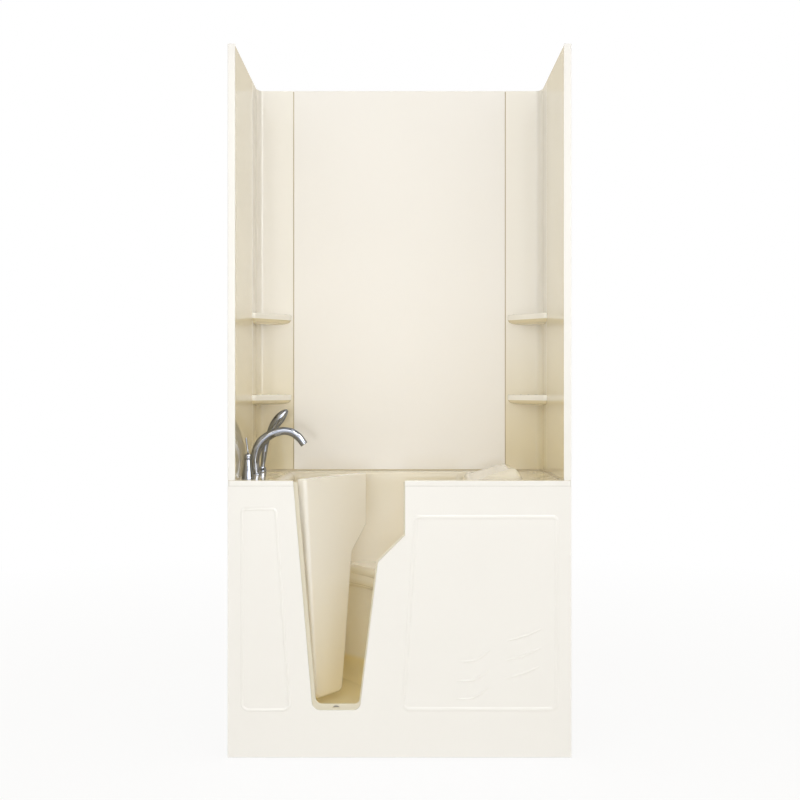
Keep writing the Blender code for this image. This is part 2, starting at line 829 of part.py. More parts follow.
def knuckles(shape_name, spans, material):
    """Hinge knuckles as plain cylinders about the door's axis."""
    return [turned(shape_name, [(knuckle_radius, low), (knuckle_radius, high)], material,
                   upright(hinge_x, hinge_depth, 0), small_sides) for low, high in spans]


def make_leaf(name, side, reach, front, low, high, spans, steel):
    """One hinge leaf: a plate on its side of the axis, a tab to each knuckle, and the pin's bore."""
    root = hinge_x + side * (knuckle_radius + leaf_wall)
    near, far = sorted((root, reach))
    leaf = block(name, (near, front, low), (far, front + leaf_wall, high), steel)
    for span_low, span_high in spans:
        near, far = sorted((root + side * leaf_wall, hinge_x))
        fuse(leaf, block("tab", (near, front + tab_step, span_low),
                         (far, front + leaf_wall + tab_step, span_high), steel))
    for knuckle in knuckles("knuckle", spans, steel):
        fuse(leaf, knuckle)
    bore = turned("bore", [(knuckle_bore, low - overrun), (knuckle_bore, high + overrun)], steel,
                  upright(hinge_x, hinge_depth, 0), small_sides)
    return cut(leaf, bore)


def door_edge_x(height):
    """The closed door's hinge-side edge at a height."""
    slope = (opening_left_foot_x - opening_left_x) / (opening_foot_height - rim_height)
    return opening_left_x + stop_left - door_overlap + slope * (height - rim_height)


def make_hinge(label, height, steel):
    low, high = height - hinge_height / 2, height + hinge_height / 2
    third = hinge_height / 3
    frame_spans = [(low, low + third - touch_gap), (high - third + touch_gap, high)]
    door_spans = [(low + third + touch_gap, high - third - touch_gap)]
    frame_leaf = make_leaf(label + "_hinge_frame_leaf", -1, hinge_x - frame_leaf_width,
                           front_wall_depth + touch_gap, low, high, frame_spans, steel)
    grip_x = door_edge_x(low) + door_leaf_grip
    door_leaf = make_leaf(label + "_hinge_door_leaf", 1, grip_x, door_back_depth + touch_gap,
                          low, high, door_spans, steel)
    pin = turned(label + "_hinge_pin",
                 [(pin_radius, low - pin_head_height), (pin_radius, high + touch_gap),
                  (pin_head, high + touch_gap), (pin_head, high + pin_head_height + touch_gap)],
                 steel, upright(hinge_x, hinge_depth, 0), small_sides)
    return frame_leaf, door_leaf, pin


def make_latch(chrome, steel):
    """Latch on the door's inner face: escutcheon, then tongue, then handle with its spindle."""
    seat = door_back_depth + touch_gap
    bore = spindle_radius + touch_gap * 2
    escutcheon = turned("latch_escutcheon",
                        [(bore, seat), (escutcheon_radius, seat),
                         (escutcheon_radius, seat + escutcheon_wall / 2),
                         (escutcheon_radius * 0.85, seat + escutcheon_wall), (bore, seat + escutcheon_wall)],
                        chrome, along_y(latch_x, 0, latch_height), looped=True)
    tongue_front = seat + escutcheon_wall + touch_gap
    half = tongue_width / 2
    tongue = block("latch_tongue", (latch_x - half, tongue_front, latch_height - half),
                   (latch_x + half, tongue_front + tongue_wall, latch_height + tongue_length), steel)
    cut(tongue, turned("bore", [(bore, -overrun), (bore, tongue_wall + overrun)], steel,
                       along_y(latch_x, tongue_front, latch_height), small_sides))
    root = tongue_front + tongue_wall + touch_gap
    crown = root + handle_stand
    handle = turned("latch_handle",
                    [(spindle_radius, seat - touch_gap + escutcheon_wall / 3), (spindle_radius, root),
                     (handle_width / 2, root), (handle_width / 2, crown)],
                    chrome, along_y(latch_x, 0, latch_height), small_sides)
    lever = block("lever", (latch_x - handle_width / 3, crown - handle_wall, latch_height - handle_length),
                  (latch_x + handle_width / 3, crown - handle_wall / 6, latch_height), chrome)
    fuse(handle, lever)
    return escutcheon, tongue, handle


def make_keeper(steel):
    """Bracket on the basin's front wall; its lip holds the turned tongue from behind."""
    wall = front_wall_depth + touch_gap
    tongue_back = door_back_depth + escutcheon_wall + tongue_wall + touch_gap * 2
    lip_front = tongue_back + keeper_clearance
    foot_x = latch_x + tongue_length + keeper_clearance
    low, high = latch_height - keeper_height / 2, latch_height + keeper_height / 2
    left_x = foot_x - keeper_width * 0.8
    outline = [(foot_x, wall), (foot_x + keeper_width, wall), (foot_x + keeper_width, wall + keeper_wall),
               (foot_x + keeper_wall, wall + keeper_wall), (foot_x + keeper_wall, lip_front + keeper_wall),
               (left_x, lip_front + keeper_wall), (left_x, lip_front), (foot_x, lip_front)]
    return skin("latch_keeper", [[(x, y_at(depth), z) for x, depth in outline] for z in (low, high)], steel)


# Surround

def corner_path(side, out):
    """Plan line of a corner panel's face, from its side leg round the cove to its back leg."""
    face_x, face_depth = wall_face_x, tub_depth - wall_thickness
    side_start = face_depth - corner_side_leg
    path = [(face_x + out, side_start)]
    for step in range(cove_steps + 1):
        angle = radians(90 * step / cove_steps)
        path.append((face_x - cove_width + (cove_width + out) * cos(angle),
                     face_depth - cove_depth + (cove_depth + out) * sin(angle)))
    path.append((face_x - corner_back_leg + seam_width / 2, face_depth + out))
    return [(side * x, depth) for x, depth in path]


def standing_strip(name, face, back, material):
    """A wall panel from its two plan lines, its foot following the deck's fall."""
    plan = face + list(reversed(back))
    feet = [(x, y_at(depth), deck_at(depth) + touch_gap) for x, depth in plan]
    heads = [(x, y_at(depth), panel_top) for x, depth in plan]
    return skin(name, [feet, heads], material)


def make_surround(acrylic, sealant):
    face_depth = tub_depth - wall_thickness
    joint_depth = face_depth - corner_side_leg - side_joint
    back_half = wall_face_x - corner_back_leg - seam_width / 2
    pieces = [standing_strip("back_panel", [(-back_half, face_depth), (back_half, face_depth)],
                             [(-back_half, tub_depth), (back_half, tub_depth)], acrylic)]
    for label, side in (("left", -1), ("right", 1)):
        front = wall_thickness + touch_gap
        inner, outer = side * wall_face_x, side * (wall_face_x + wall_thickness)
        pieces.append(standing_strip(label + "_side_panel", [(inner, front), (inner, joint_depth)],
                                     [(outer, front), (outer, joint_depth)], acrylic))
        pieces.append(standing_strip(label + "_corner_panel", corner_path(side, 0),
                                     corner_path(side, wall_thickness), acrylic))
        pieces.append(make_trim(label, side, acrylic))
        for level, top in (("upper", upper_shelf_top), ("lower", lower_shelf_top)):
            pieces.append(make_shelf(label + "_" + level + "_shelf", side, top, acrylic))
    pieces.append(make_base_seal(sealant))
    return pieces


def make_trim(label, side, acrylic):
    """Upright L-shaped edge strip at the surround's front."""
    inner, outer = side * wall_face_x, side * half_width
    turn = side * (half_width - wall_thickness)
    plan = [(inner, 0), (outer, 0), (outer, trim_depth), (turn, trim_depth), (turn, wall_thickness),
            (inner, wall_thickness)]
    foot = rim_height + touch_gap
    return skin(label + "_front_trim", [[(x, y_at(depth), z) for x, depth in plan]
                                        for z in (foot, panel_top + trim_rise)], acrylic)


def shelf_outline(side, inset, reach):
    """A shelf in plan: along the side wall, round the cove, along the back wall and over its front."""
    face_x, face_depth = wall_face_x - touch_gap, tub_depth - wall_thickness - touch_gap
    side_leg, back_leg = shelf_side_leg * reach - inset, shelf_back_leg * reach - inset
    outline = [(face_x, face_depth - side_leg)]
    for step in range(cove_steps + 1):
        angle = radians(90 * step / cove_steps)
        outline.append((face_x - cove_width * (1 - cos(angle)),
                        face_depth - cove_depth * (1 - sin(angle))))
    tip = (face_x - back_leg, face_depth)
    outline.append(tip)
    # The front edge bows out a little and turns in round both tips
    start, end = Vector(tip), Vector((face_x, face_depth - side_leg))
    out = Vector((-(end - start).y, (end - start).x)).normalized()
    if out.x > 0:
        out = -out
    for share, bow in ((0.03, 0.55), (0.10, 0.85), (0.28, 1.0), (0.5, 1.08), (0.72, 1.0), (0.90, 0.85),
                       (0.97, 0.55)):
        spot = start + (end - start) * share + out * shelf_bulge * bow
        outline.append((spot.x, spot.y))
    return [(side * x, depth) for x, depth in outline]


def make_shelf(name, side, top, acrylic):
    levels = ((shelf_edge, 1, top), (0, 1, top - shelf_edge), (0, 1, top - shelf_thickness + shelf_edge),
              (shelf_edge, 1, top - shelf_thickness),
              (shelf_edge, shelf_foot_share, top - shelf_thickness - shelf_belly / 2),
              (shelf_edge, shelf_foot_share ** 3, top - shelf_thickness - shelf_belly))
    rings = [[(x, y_at(depth), z) for x, depth in shelf_outline(side, inset, reach)]
             for inset, reach, z in levels]
    return skin(name, rings, acrylic)


def make_base_seal(sealant):
    """A three-cornered bead along the foot of the surround."""
    right = corner_path(1, 0)
    line = [(wall_face_x, wall_thickness + touch_gap)] + right
    line += [(-x, depth) for x, depth in reversed(line)]
    centre = Vector((0, tub_depth / 2))
    rings = []
    for index, spot in enumerate(line):
        before, after = Vector(line[max(index - 1, 0)]), Vector(line[min(index + 1, len(line) - 1)])
        ahead = (after - before).normalized()
        inward = Vector((-ahead.y, ahead.x))
        if inward.dot(centre - Vector(spot)) < 0:
            inward = -inward
        ring = []
        for away, up in ((touch_gap, touch_gap), (seal_bead, touch_gap), (touch_gap, seal_bead)):
            place = Vector(spot) + inward * away
            ring.append((place.x, y_at(place.y), deck_at(place.y) + up))
        rings.append(ring)
    return skin("base_seal", rings, sealant)


# Filler set

def make_shank(name, depth, brass):
    """Threaded shank through the deck with its nut below."""
    level = deck_at(depth)
    under = level - shell_wall - touch_gap * 2
    return turned(name, [(shank_radius, level - shank_length), (shank_radius, under - nut_height),
                         (nut_radius, under - nut_height), (nut_radius, under),
                         (shank_radius, under), (shank_radius, level - touch_gap)],
                  brass, upright(deck_set_x, depth, 0), small_sides)


def make_valve(chrome):
    foot = deck_at(valve_depth) + touch_gap * 2
    body = turned("valve_body", [(valve_base_radius, foot), (valve_base_radius, foot + 0.06 * valve_height),
                                 (valve_base_radius * 0.88, foot + 0.30 * valve_height),
                                 (valve_neck_radius * 1.12, foot + 0.72 * valve_height),
                                 (valve_neck_radius, foot + valve_height)], chrome,
                  upright(deck_set_x, valve_depth, 0))
    neck = foot + valve_height + touch_gap
    head = turned("valve_head", [(valve_neck_radius * 0.9, neck),
                                 (valve_neck_radius * 1.05, neck + 0.10 * valve_head_height),
                                 (valve_neck_radius * 1.05, neck + 0.45 * valve_head_height),
                                 (valve_neck_radius * 0.80, neck + 0.80 * valve_head_height),
                                 (valve_neck_radius * 0.38, neck + valve_head_height)], chrome,
                  upright(deck_set_x, valve_depth, 0))
    ball = lever_radius * 1.1
    pivot_height = neck + valve_head_height + touch_gap + ball
    lever_frame = (Matrix.Translation((deck_set_x, y_at(valve_depth), pivot_height))
                   @ Matrix.Rotation(lever_lean, 4, 'Y'))
    profile = [(ball * cos(radians(angle)), ball * sin(radians(angle))) for angle in (-60, -25, 10)]
    profile += [(lever_radius * 0.9, lever_length * 0.3), (lever_radius * 1.1, lever_length * 0.9),
                (lever_radius * 0.6, lever_length)]
    lever = turned("valve_lever", profile, chrome, lever_frame, small_sides)
    return body, head, lever, pivot_height


def make_spout(chrome):
    level = deck_at(spout_depth) + touch_gap * 2
    across_shares = (0, -0.03, 0.01, 0.10, 0.24, 0.40, 0.58, 0.75, 0.89, 1.0)
    rise_shares = (0.01, 0.30, 0.56, 0.745, 0.88, 0.965, 1.0, 0.967, 0.857, 0.70)
    radius_shares = (0.75, 0.89, 1, 1, 0.933, 0.861, 0.806, 0.822, 0.822, 0.778)
    stations = [(deck_set_x + spout_reach * across, level + spout_rise * rise,
                 spout_radius * share, spout_radius * share)
                for across, rise, share in zip(across_shares, rise_shares, radius_shares)]
    spout = arch("filler_spout", stations, spout_depth, chrome)
    flange = turned("flange", [(spout_flange_radius, level),
                               (spout_flange_radius, level + spout_flange_height / 2),
                               (spout_flange_radius * 0.8, level + spout_flange_height)], chrome,
                    upright(deck_set_x, spout_depth, 0))
    return fuse(spout, flange)


def shower_frame():
    """The hand shower's own axis: it leans to the right out of its cradle."""
    foot = deck_at(shower_depth) + touch_gap * 2 + cradle_floor
    return (Matrix.Translation((deck_set_x, y_at(shower_depth), foot))
            @ Matrix.Rotation(shower_lean, 4, 'Y'))


def make_cradle(chrome):
    level = deck_at(shower_depth) + touch_gap * 2
    cradle = turned("shower_cradle", [(cradle_radius, level), (cradle_radius, level + cradle_height * 0.3),
                                      (cradle_radius * 0.82, level + cradle_height)], chrome,
                    upright(deck_set_x, shower_depth, 0))
    bore = turned("bore", [(cradle_bore, 0), (cradle_bore, cradle_height + overrun)], chrome,
                  shower_frame(), small_sides)
    return cut(cradle, bore)


def make_hand_shower(chrome):
    foot = shower_frame().translation
    start = foot + Vector((sin(shower_lean), 0, cos(shower_lean))) * touch_gap
    across_shares = (0, 0.035, 0.09, 0.16, 0.30, 0.50, 0.72, 0.90, 1.0)
    rise_shares = (0, 0.10, 0.28, 0.46, 0.62, 0.76, 0.88, 0.965, 1.0)
    width_shares = (0.41, 0.42, 0.54, 0.564, 0.641, 0.949, 1, 0.641, 0.256)
    thick_shares = (0.281, 0.288, 0.386, 0.404, 0.526, 0.842, 1, 0.702, 0.281)
    stations = [(start.x + shower_reach * across, start.z + shower_rise * rise,
                 shower_width * wide, shower_thick * thick)
                for across, rise, wide, thick in zip(across_shares, rise_shares, width_shares, thick_shares)]
    return arch("hand_shower", stations, shower_depth, chrome)


# Waste

def make_waste(chrome, plastic):
    top = floor_height + touch_gap
    foot = floor_height - drain_length
    flange_top = top + drain_flange_wall
    drain = turned("drain_body", [(drain_flange_radius, top), (drain_flange_radius * 0.94, flange_top),
                                  (drain_bore, flange_top - drain_flange_wall * 0.5), (drain_bore, foot),
                                  (drain_tube_radius, foot), (drain_tube_radius, top)], chrome,
                   upright(drain_x, drain_depth, 0), looped=True)
    seat = flange_top + touch_gap
    stopper = turned("drain_stopper", [(stem_radius, seat - stem_length), (stem_radius, seat),
                                       (stopper_radius, seat), (stopper_radius, seat + stopper_wall / 2),
                                       (stopper_radius * 0.8, seat + stopper_wall)], chrome,
                     upright(drain_x, drain_depth, 0))
    plate = turned("overflow_plate", [(overflow_bore * 0.5, touch_gap), (overflow_radius, touch_gap),
                                      (overflow_radius, overflow_wall / 2),
                                      (overflow_radius * 0.9, overflow_wall),
                                      (overflow_bore * 0.5, overflow_wall)],
                   chrome, along_x(basin_left_x, drain_depth, overflow_height), looped=True)
    knob_foot = overflow_wall + touch_gap
    knob = turned("overflow_knob", [(knob_radius, knob_foot), (knob_radius, knob_foot + knob_height * 0.7),
                                    (knob_radius * 0.85, knob_foot + knob_height)], chrome,
                  along_x(basin_left_x, drain_depth, overflow_height), small_sides)
    return drain, stopper, plate, knob, make_overflow_tube(plastic, basin_left_x - shell_wall)


def make_overflow_tube(plastic, wall_x):
    """Overflow tube: out of the basin wall, down, and across to the waste."""
    fall_x = wall_x - tube_stand
    foot = floor_height - drain_length * 0.65
    line = [(wall_x - touch_gap, overflow_height)]
    for angle in range(0, 91, 30):
        line.append((fall_x + tube_bend * (1 - sin(radians(angle))),
                     overflow_height - tube_bend * (1 - cos(radians(angle)))))
    for angle in range(0, 91, 30):
        line.append((fall_x + tube_bend * (1 - cos(radians(angle))),
                     foot + tube_bend * (1 - sin(radians(angle)))))
    line.append((drain_x - drain_tube_radius - touch_gap * 2, foot))
    rings = []
    for radius, order in ((tube_radius, 1), (tube_bore, -1)):
        for index in range(len(line))[::order]:
            before, after = line[max(index - 1, 0)], line[min(index + 1, len(line) - 1)]
            angle = atan2(after[1] - before[1], after[0] - before[0])
            rings.append([(line[index][0] - sin(angle) * across, y_at(drain_depth) + deep,
                           line[index][1] + cos(angle) * across)
                          for across, deep in circle(radius, small_sides)])
    return skin("overflow_tube", rings, plastic, looped=True)


# Support frame

def make_frame(steel, rubber, timber):
    left, right = -half_width + rail_side_inset, half_width - rail_side_inset
    front, rear = rail_front_depth, tub_depth - rail_front_depth
    low, high = rail_height, rail_height + rail_size
    pieces = []
    for label, depth in (("front", front), ("rear", rear - rail_size)):
        pieces.append(square_tube(label + "_base_rail", (left, depth, low), (right, depth + rail_size, high),
                                  0, steel))
    inner_front, inner_rear = front + rail_size + touch_gap, rear - rail_size - touch_gap
    for label, x in (("left_base_rail", left), ("right_base_rail", right - rail_size),
                     ("left_well_bar", well_bar_left_x), ("right_well_bar", well_bar_right_x)):
        pieces.append(square_tube(label, (x, inner_front, low), (x + rail_size, inner_rear, high), 1, steel))
    for side, x in (("left", left), ("right", right - rail_size)):
        for end, depth in (("front", front), ("rear", rear - rail_size)):
            top = deck_at(depth + rail_size) - shell_wall - touch_gap
            pieces.append(square_tube(f"{side}_{end}_post", (x, depth, high + touch_gap),
                                      (x + rail_size, depth + rail_size, top), 2, steel))
            pieces.append(make_foot(f"{side}_{end}_foot", x + rail_size / 2, depth + rail_size / 2, rubber))
    under_seat = seat_height - shell_wall - touch_gap
    pieces.append(square_tube("seat_rail", (seat_rail_x, front, under_seat - rail_size),
                              (seat_rail_x + rail_size, rear, under_seat), 1, steel))
    for label, depth in (("front", front), ("rear", rear - rail_size)):
        pieces.append(square_tube("seat_" + label + "_post", (seat_rail_x, depth, high + touch_gap),
                                  (seat_rail_x + rail_size, depth + rail_size,
                                   under_seat - rail_size - touch_gap), 2, steel))
    pieces.append(block("well_block", (well_bar_left_x, well_block_front, high + touch_gap),
                        (well_bar_right_x + rail_size, well_block_rear,
                         floor_height - shell_wall - touch_gap), timber))
    return pieces


def make_foot(name, x, depth, rubber):
    """Levelling foot: pad, stud and lock nut under the rail."""
    top = rail_height - touch_gap
    return turned(name, [(foot_radius, 0), (foot_radius, foot_pad * 0.6), (foot_radius * 0.7, foot_pad),
                         (foot_stud_radius, foot_pad * 1.4), (foot_stud_radius, top - foot_nut_height),
                         (foot_nut_radius, top - foot_nut_height), (foot_nut_radius, top)],
                  rubber, upright(x, depth, 0), small_sides)


# Assembly

def pivot(name, position, parent, turn=0.0):
    """An empty on a joint's axis."""
    empty = bpy.data.objects.new(name, None)
    empty.empty_display_size = pivot_size
    bpy.context.scene.collection.objects.link(empty)
    empty.parent = parent
    empty.location = position
    empty.rotation_euler.z = turn
    return empty


def hang(pieces, carrier, origin):
    """Parents pieces to a carrier, their origin moved to its closed place."""
    for piece in pieces:
        piece.data.transform(Matrix.Translation(-origin))
        piece.parent = carrier


def settle(pieces, carrier):
    """Gives fixed pieces an origin at the middle of their own foot."""
    for piece in pieces:
        corners = [vertex.co for vertex in piece.data.vertices]
        low = Vector([min(corner[axis] for corner in corners) for axis in range(3)])
        high = Vector([max(corner[axis] for corner in corners) for axis in range(3)])
        middle = Vector(((low.x + high.x) / 2, (low.y + high.y) / 2, low.z))
        piece.data.transform(Matrix.Translation(-middle))
        piece.location = middle
        piece.parent = carrier


def main():
    for thing in list(bpy.data.objects):
        bpy.data.objects.remove(thing)
    acrylic = make_material("biscuit_acrylic", (0.895, 0.860, 0.765), 0.16)
    chrome = make_material("polished_chrome", (0.80, 0.81, 0.82), 0.07, 1.0)
    steel = make_material("brushed_stainless", (0.62, 0.62, 0.61), 0.32, 1.0)
    painted = make_material("galvanised_steel", (0.55, 0.56, 0.57), 0.45, 0.8)
    rubber = make_material("grey_rubber", (0.30, 0.29, 0.27), 0.7)
    sealant = make_material("tan_sealant", (0.42, 0.33, 0.20), 0.5)
    brass = make_material("brass", (0.72, 0.52, 0.22), 0.3, 1.0)
    plastic = make_material("white_pipe", (0.80, 0.80, 0.78), 0.4)
    timber = make_material("support_block", (0.62, 0.46, 0.28), 0.75)

    tub = pivot("walk_in_tub", (0, 0, 0), None)
    fixed = [make_tub_shell(acrylic), make_apron(acrylic), make_jamb(acrylic), make_seal(rubber)]
    fixed += make_surround(acrylic, sealant)
    fixed += make_frame(painted, rubber, timber)

    hinge_spot = Vector((hinge_x, y_at(hinge_depth), 0))
    door_pieces = make_door(acrylic)
    for label, height in (("upper", upper_hinge_height), ("lower", lower_hinge_height)):
        frame_leaf, door_leaf, pin = make_hinge(label, height, steel)
        fixed += [frame_leaf, pin]
        door_pieces.append(door_leaf)
    escutcheon, tongue, handle = make_latch(chrome, steel)
    door_pieces.append(escutcheon)
    fixed.append(make_keeper(steel))
    door = pivot("door_pivot", hinge_spot, tub, door_open_angle)
    hang(door_pieces, door, hinge_spot)
    latch_spot = Vector((latch_x, y_at(door_back_depth), latch_height))
    latch = pivot("latch_pivot", latch_spot - hinge_spot, door)
    hang([tongue, handle], latch, latch_spot)

    body, head, lever, lever_height = make_valve(chrome)
    head_spot = Vector((deck_set_x, y_at(valve_depth), 0))
    turn = pivot("valve_pivot", head_spot, tub)
    hang([head], turn, head_spot)
    lever_spot = Vector((deck_set_x, y_at(valve_depth), lever_height))
    tilt = pivot("lever_pivot", lever_spot - head_spot, turn)
    hang([lever], tilt, lever_spot)
    lift_spot = shower_frame().translation
    lift = pivot("shower_pivot", lift_spot, tub)
    hang([make_hand_shower(chrome)], lift, lift_spot)
    fixed += [body, make_spout(chrome), make_cradle(chrome)]
    fixed += [make_shank("valve_nut", valve_depth, brass), make_shank("spout_nut", spout_depth, brass),
              make_shank("cradle_nut", shower_depth, brass)]

    drain, stopper, plate, knob, tube = make_waste(chrome, plastic)
    fixed += [drain, plate, tube]
    stopper_spot = Vector((drain_x, y_at(drain_depth), floor_height))
    hang([stopper], pivot("stopper_pivot", stopper_spot, tub), stopper_spot)
    knob_spot = Vector((basin_left_x, y_at(drain_depth), overflow_height))
    hang([knob], pivot("knob_pivot", knob_spot, tub), knob_spot)
    settle(fixed, tub)
    bpy.context.view_layer.update()


main()
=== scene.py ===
import json
from math import cos, hypot, pi, radians, sin

import bmesh
import bpy
import numpy as np
from mathutils import Matrix, Vector


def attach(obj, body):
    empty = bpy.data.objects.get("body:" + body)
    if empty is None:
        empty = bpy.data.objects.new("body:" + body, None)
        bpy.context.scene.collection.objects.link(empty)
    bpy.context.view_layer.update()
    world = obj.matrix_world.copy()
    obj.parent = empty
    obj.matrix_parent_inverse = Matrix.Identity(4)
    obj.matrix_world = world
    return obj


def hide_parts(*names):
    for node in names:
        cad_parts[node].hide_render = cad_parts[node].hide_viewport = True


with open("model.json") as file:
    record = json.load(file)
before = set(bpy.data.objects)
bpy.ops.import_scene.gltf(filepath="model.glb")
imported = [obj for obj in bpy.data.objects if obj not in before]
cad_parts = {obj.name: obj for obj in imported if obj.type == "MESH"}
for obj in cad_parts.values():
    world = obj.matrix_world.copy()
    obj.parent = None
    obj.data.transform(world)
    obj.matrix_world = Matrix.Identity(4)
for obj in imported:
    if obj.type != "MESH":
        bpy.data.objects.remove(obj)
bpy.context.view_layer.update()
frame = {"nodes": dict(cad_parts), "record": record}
print("frame loaded,", len(frame["nodes"]), "nodes")

# Sizes that several pieces share, in metres. Depths run backwards from the apron's face.
bath = {
    "halfWidth": 0.597, "depth": 0.686, "rim": 0.965, "fall": 0.011, "frontY": -0.3415,
    "wall": 0.005, "gap": 0.0003, "floor": 0.160, "seat": 0.600,
    "frontWall": 0.048, "rearWall": 0.600, "basinLeft": -0.413,
    "apronReturn": 0.008, "lipDrop": 0.019, "panelTop": 2.4775,
}


def yAt(depth):
    return bath["frontY"] + depth


def deckAt(depth):
    return bath["rim"] - bath["fall"] * depth / bath["depth"]


def lying(line, height):
    # x and depth pairs at one height, or at a height for each, as points in space
    return np.stack([line[:, 0], yAt(line[:, 1]), height + 0 * line[:, 0]], -1)


def standing(line, depth):
    # x and height pairs at one depth, as points in space
    return np.stack([line[:, 0], np.full(len(line), yAt(depth)), line[:, 1]], -1)


# steps of a quarter round, by the size of the round
arcs = {"small": 6, "middle": 8, "large": 13}


def quarterRound(steps):
    # for each step of a quarter round, the share still to go on its first side and gone on its second
    return [(1 - sin(angle), 1 - cos(angle)) for angle in np.linspace(0, pi / 2, steps)]


# ---- mesh helpers


def putMesh(name, points, faces):
    mesh = bpy.data.meshes.new(name)
    mesh.from_pydata(np.asarray(points, dtype=float).reshape(-1, 3).tolist(), [], faces)
    mesh.update()
    piece = bpy.data.objects.new(name, mesh)
    bpy.context.scene.collection.objects.link(piece)
    return piece


def gridFaces(rows, columns, wrapRows=False):
    # every face joins four neighbours of the grid, whose columns close on themselves
    row, column = np.meshgrid(np.arange(rows if wrapRows else rows - 1), np.arange(columns), indexing="ij")
    nextRow, nextColumn = (row + 1) % rows, (column + 1) % columns
    quads = np.stack([row * columns + column, row * columns + nextColumn,
                      nextRow * columns + nextColumn, nextRow * columns + column], -1)
    return quads.reshape(-1, 4).tolist()


def gridPiece(name, grid, wrapRows=False, crease=35):
    # a closed surface from a grid of points: its first and last rings meet, or each gets a cap
    rows, columns = grid.shape[:2]
    faces = gridFaces(rows, columns, wrapRows)
    if not wrapRows:
        faces.append(list(range(columns)))
        faces.append(list(range((rows - 1) * columns, rows * columns))[::-1])
    piece = putMesh(name, grid, faces)
    faceOutwards(piece)
    shade(piece, crease)
    return piece


def faceOutwards(piece):
    shape = bmesh.new()
    shape.from_mesh(piece.data)
    bmesh.ops.remove_doubles(shape, verts=shape.verts, dist=1e-6)
    bmesh.ops.recalc_face_normals(shape, faces=shape.faces)
    shape.to_mesh(piece.data)
    shape.free()


def shade(piece, crease=35):
    piece.data.shade_smooth()
    piece.data.set_sharp_from_angle(angle=radians(crease))


def applyModifiers(piece):
    bpy.context.view_layer.update()
    graph = bpy.context.evaluated_depsgraph_get()
    mesh = bpy.data.meshes.new_from_object(piece.evaluated_get(graph))
    piece.modifiers.clear()
    piece.data = mesh
    mesh.name = piece.name
    return piece


def carve(piece, *cutters, selfCrossing=False):
    for cutter in cutters:
        modifier = piece.modifiers.new("carve", 'BOOLEAN')
        modifier.operation = 'DIFFERENCE'
        modifier.solver = 'EXACT'
        modifier.use_self = selfCrossing
        modifier.object = cutter
        applyModifiers(piece)
        bpy.data.objects.remove(cutter)
    return piece


def join(name, pieces):
    # several shapes as one piece
    shape = bmesh.new()
    for part in pieces:
        shape.from_mesh(part.data)
        bpy.data.objects.remove(part)
    mesh = bpy.data.meshes.new(name)
    shape.to_mesh(mesh)
    shape.free()
    whole = bpy.data.objects.new(name, mesh)
    bpy.context.scene.collection.objects.link(whole)
    shade(whole)
    return whole


def soften(piece, width, segments=3, angle=40):
    # rounds the sharp edges, and keeps the flat faces flat
    bevel = piece.modifiers.new("edges", 'BEVEL')
    bevel.width = width
    bevel.segments = segments
    bevel.limit_method = 'ANGLE'
    bevel.angle_limit = radians(angle)
    bevel.use_clamp_overlap = True
    return levelFaces(piece)


def levelFaces(piece):
    # large faces keep their own direction beside the small ones of a rounded edge
    level = piece.modifiers.new("level faces", 'WEIGHTED_NORMAL')
    level.keep_sharp = True
    return piece


def smoothLine(points, steps):
    # a Catmull-Rom line through the points, worked out for all its steps at once
    points = np.asarray(points, dtype=float)
    padded = np.vstack([points[:1], points, points[-1:]])
    t = (np.arange(steps) / steps)[None, :, None]
    a, b, c, d = (padded[k:len(points) - 1 + k, None, :] for k in range(4))
    line = 0.5 * (2 * b + (c - a) * t + (2 * a - 5 * b + 4 * c - d) * t ** 2 + (3 * b - a - 3 * c + d) * t ** 3)
    return np.vstack([line.reshape(-1, points.shape[1]), points[-1:]])


def smoothStep(value):
    value = np.clip(value, 0, 1)
    return value * value * (3 - 2 * value)


# ---- outlines in the plane of the apron


def meetPoint(first, second):
    x1, z1, dx1, dz1 = first
    x2, z2, dx2, dz2 = second
    t = ((x2 - x1) * dz2 - (z2 - z1) * dx2) / (dx1 * dz2 - dz1 * dx2)
    return np.array([x1 + dx1 * t, z1 + dz1 * t])


def roundCorner(before, corner, after, radius, steps):
    # an arc that touches both edges of the corner
    back, ahead = before - corner, after - corner
    back, ahead = back / np.linalg.norm(back), ahead / np.linalg.norm(ahead)
    half = np.arccos(np.clip(back @ ahead, -1, 1)) / 2
    middle = (back + ahead) / np.linalg.norm(back + ahead)
    centre = corner + middle * radius / sin(half)
    reach = radius * cos(half) / sin(half)
    start, finish = corner + back * reach - centre, corner + ahead * reach - centre
    turn = pi - 2 * half
    t = np.linspace(0, 1, steps + 1)[:, None]
    return centre + (np.sin((1 - t) * turn) * start + np.sin(t * turn) * finish) / sin(turn)


def roundOutline(corners, radii, steps=8):
    # a closed outline with its own radius at every corner
    corners = np.asarray(corners, dtype=float)
    count = len(corners)
    parts = []
    for index, radius in enumerate(radii):
        before, corner, after = corners[index - 1], corners[index], corners[(index + 1) % count]
        parts.append(roundCorner(before, corner, after, radius, steps) if radius > 0 else corner[None])
    return np.vstack(parts)


def shiftedEdges(corners, moves, closed):
    # edge lines as a point and a direction, each moved sideways by its own distance
    edges = []
    count = len(corners)
    for index in range(count if closed else count - 1):
        (x1, z1), (x2, z2) = corners[index], corners[(index + 1) % count]
        length = hypot(x2 - x1, z2 - z1)
        dx, dz = (x2 - x1) / length, (z2 - z1) / length
        edges.append((x1 + dz * moves[index], z1 - dx * moves[index], dx, dz))
    return edges


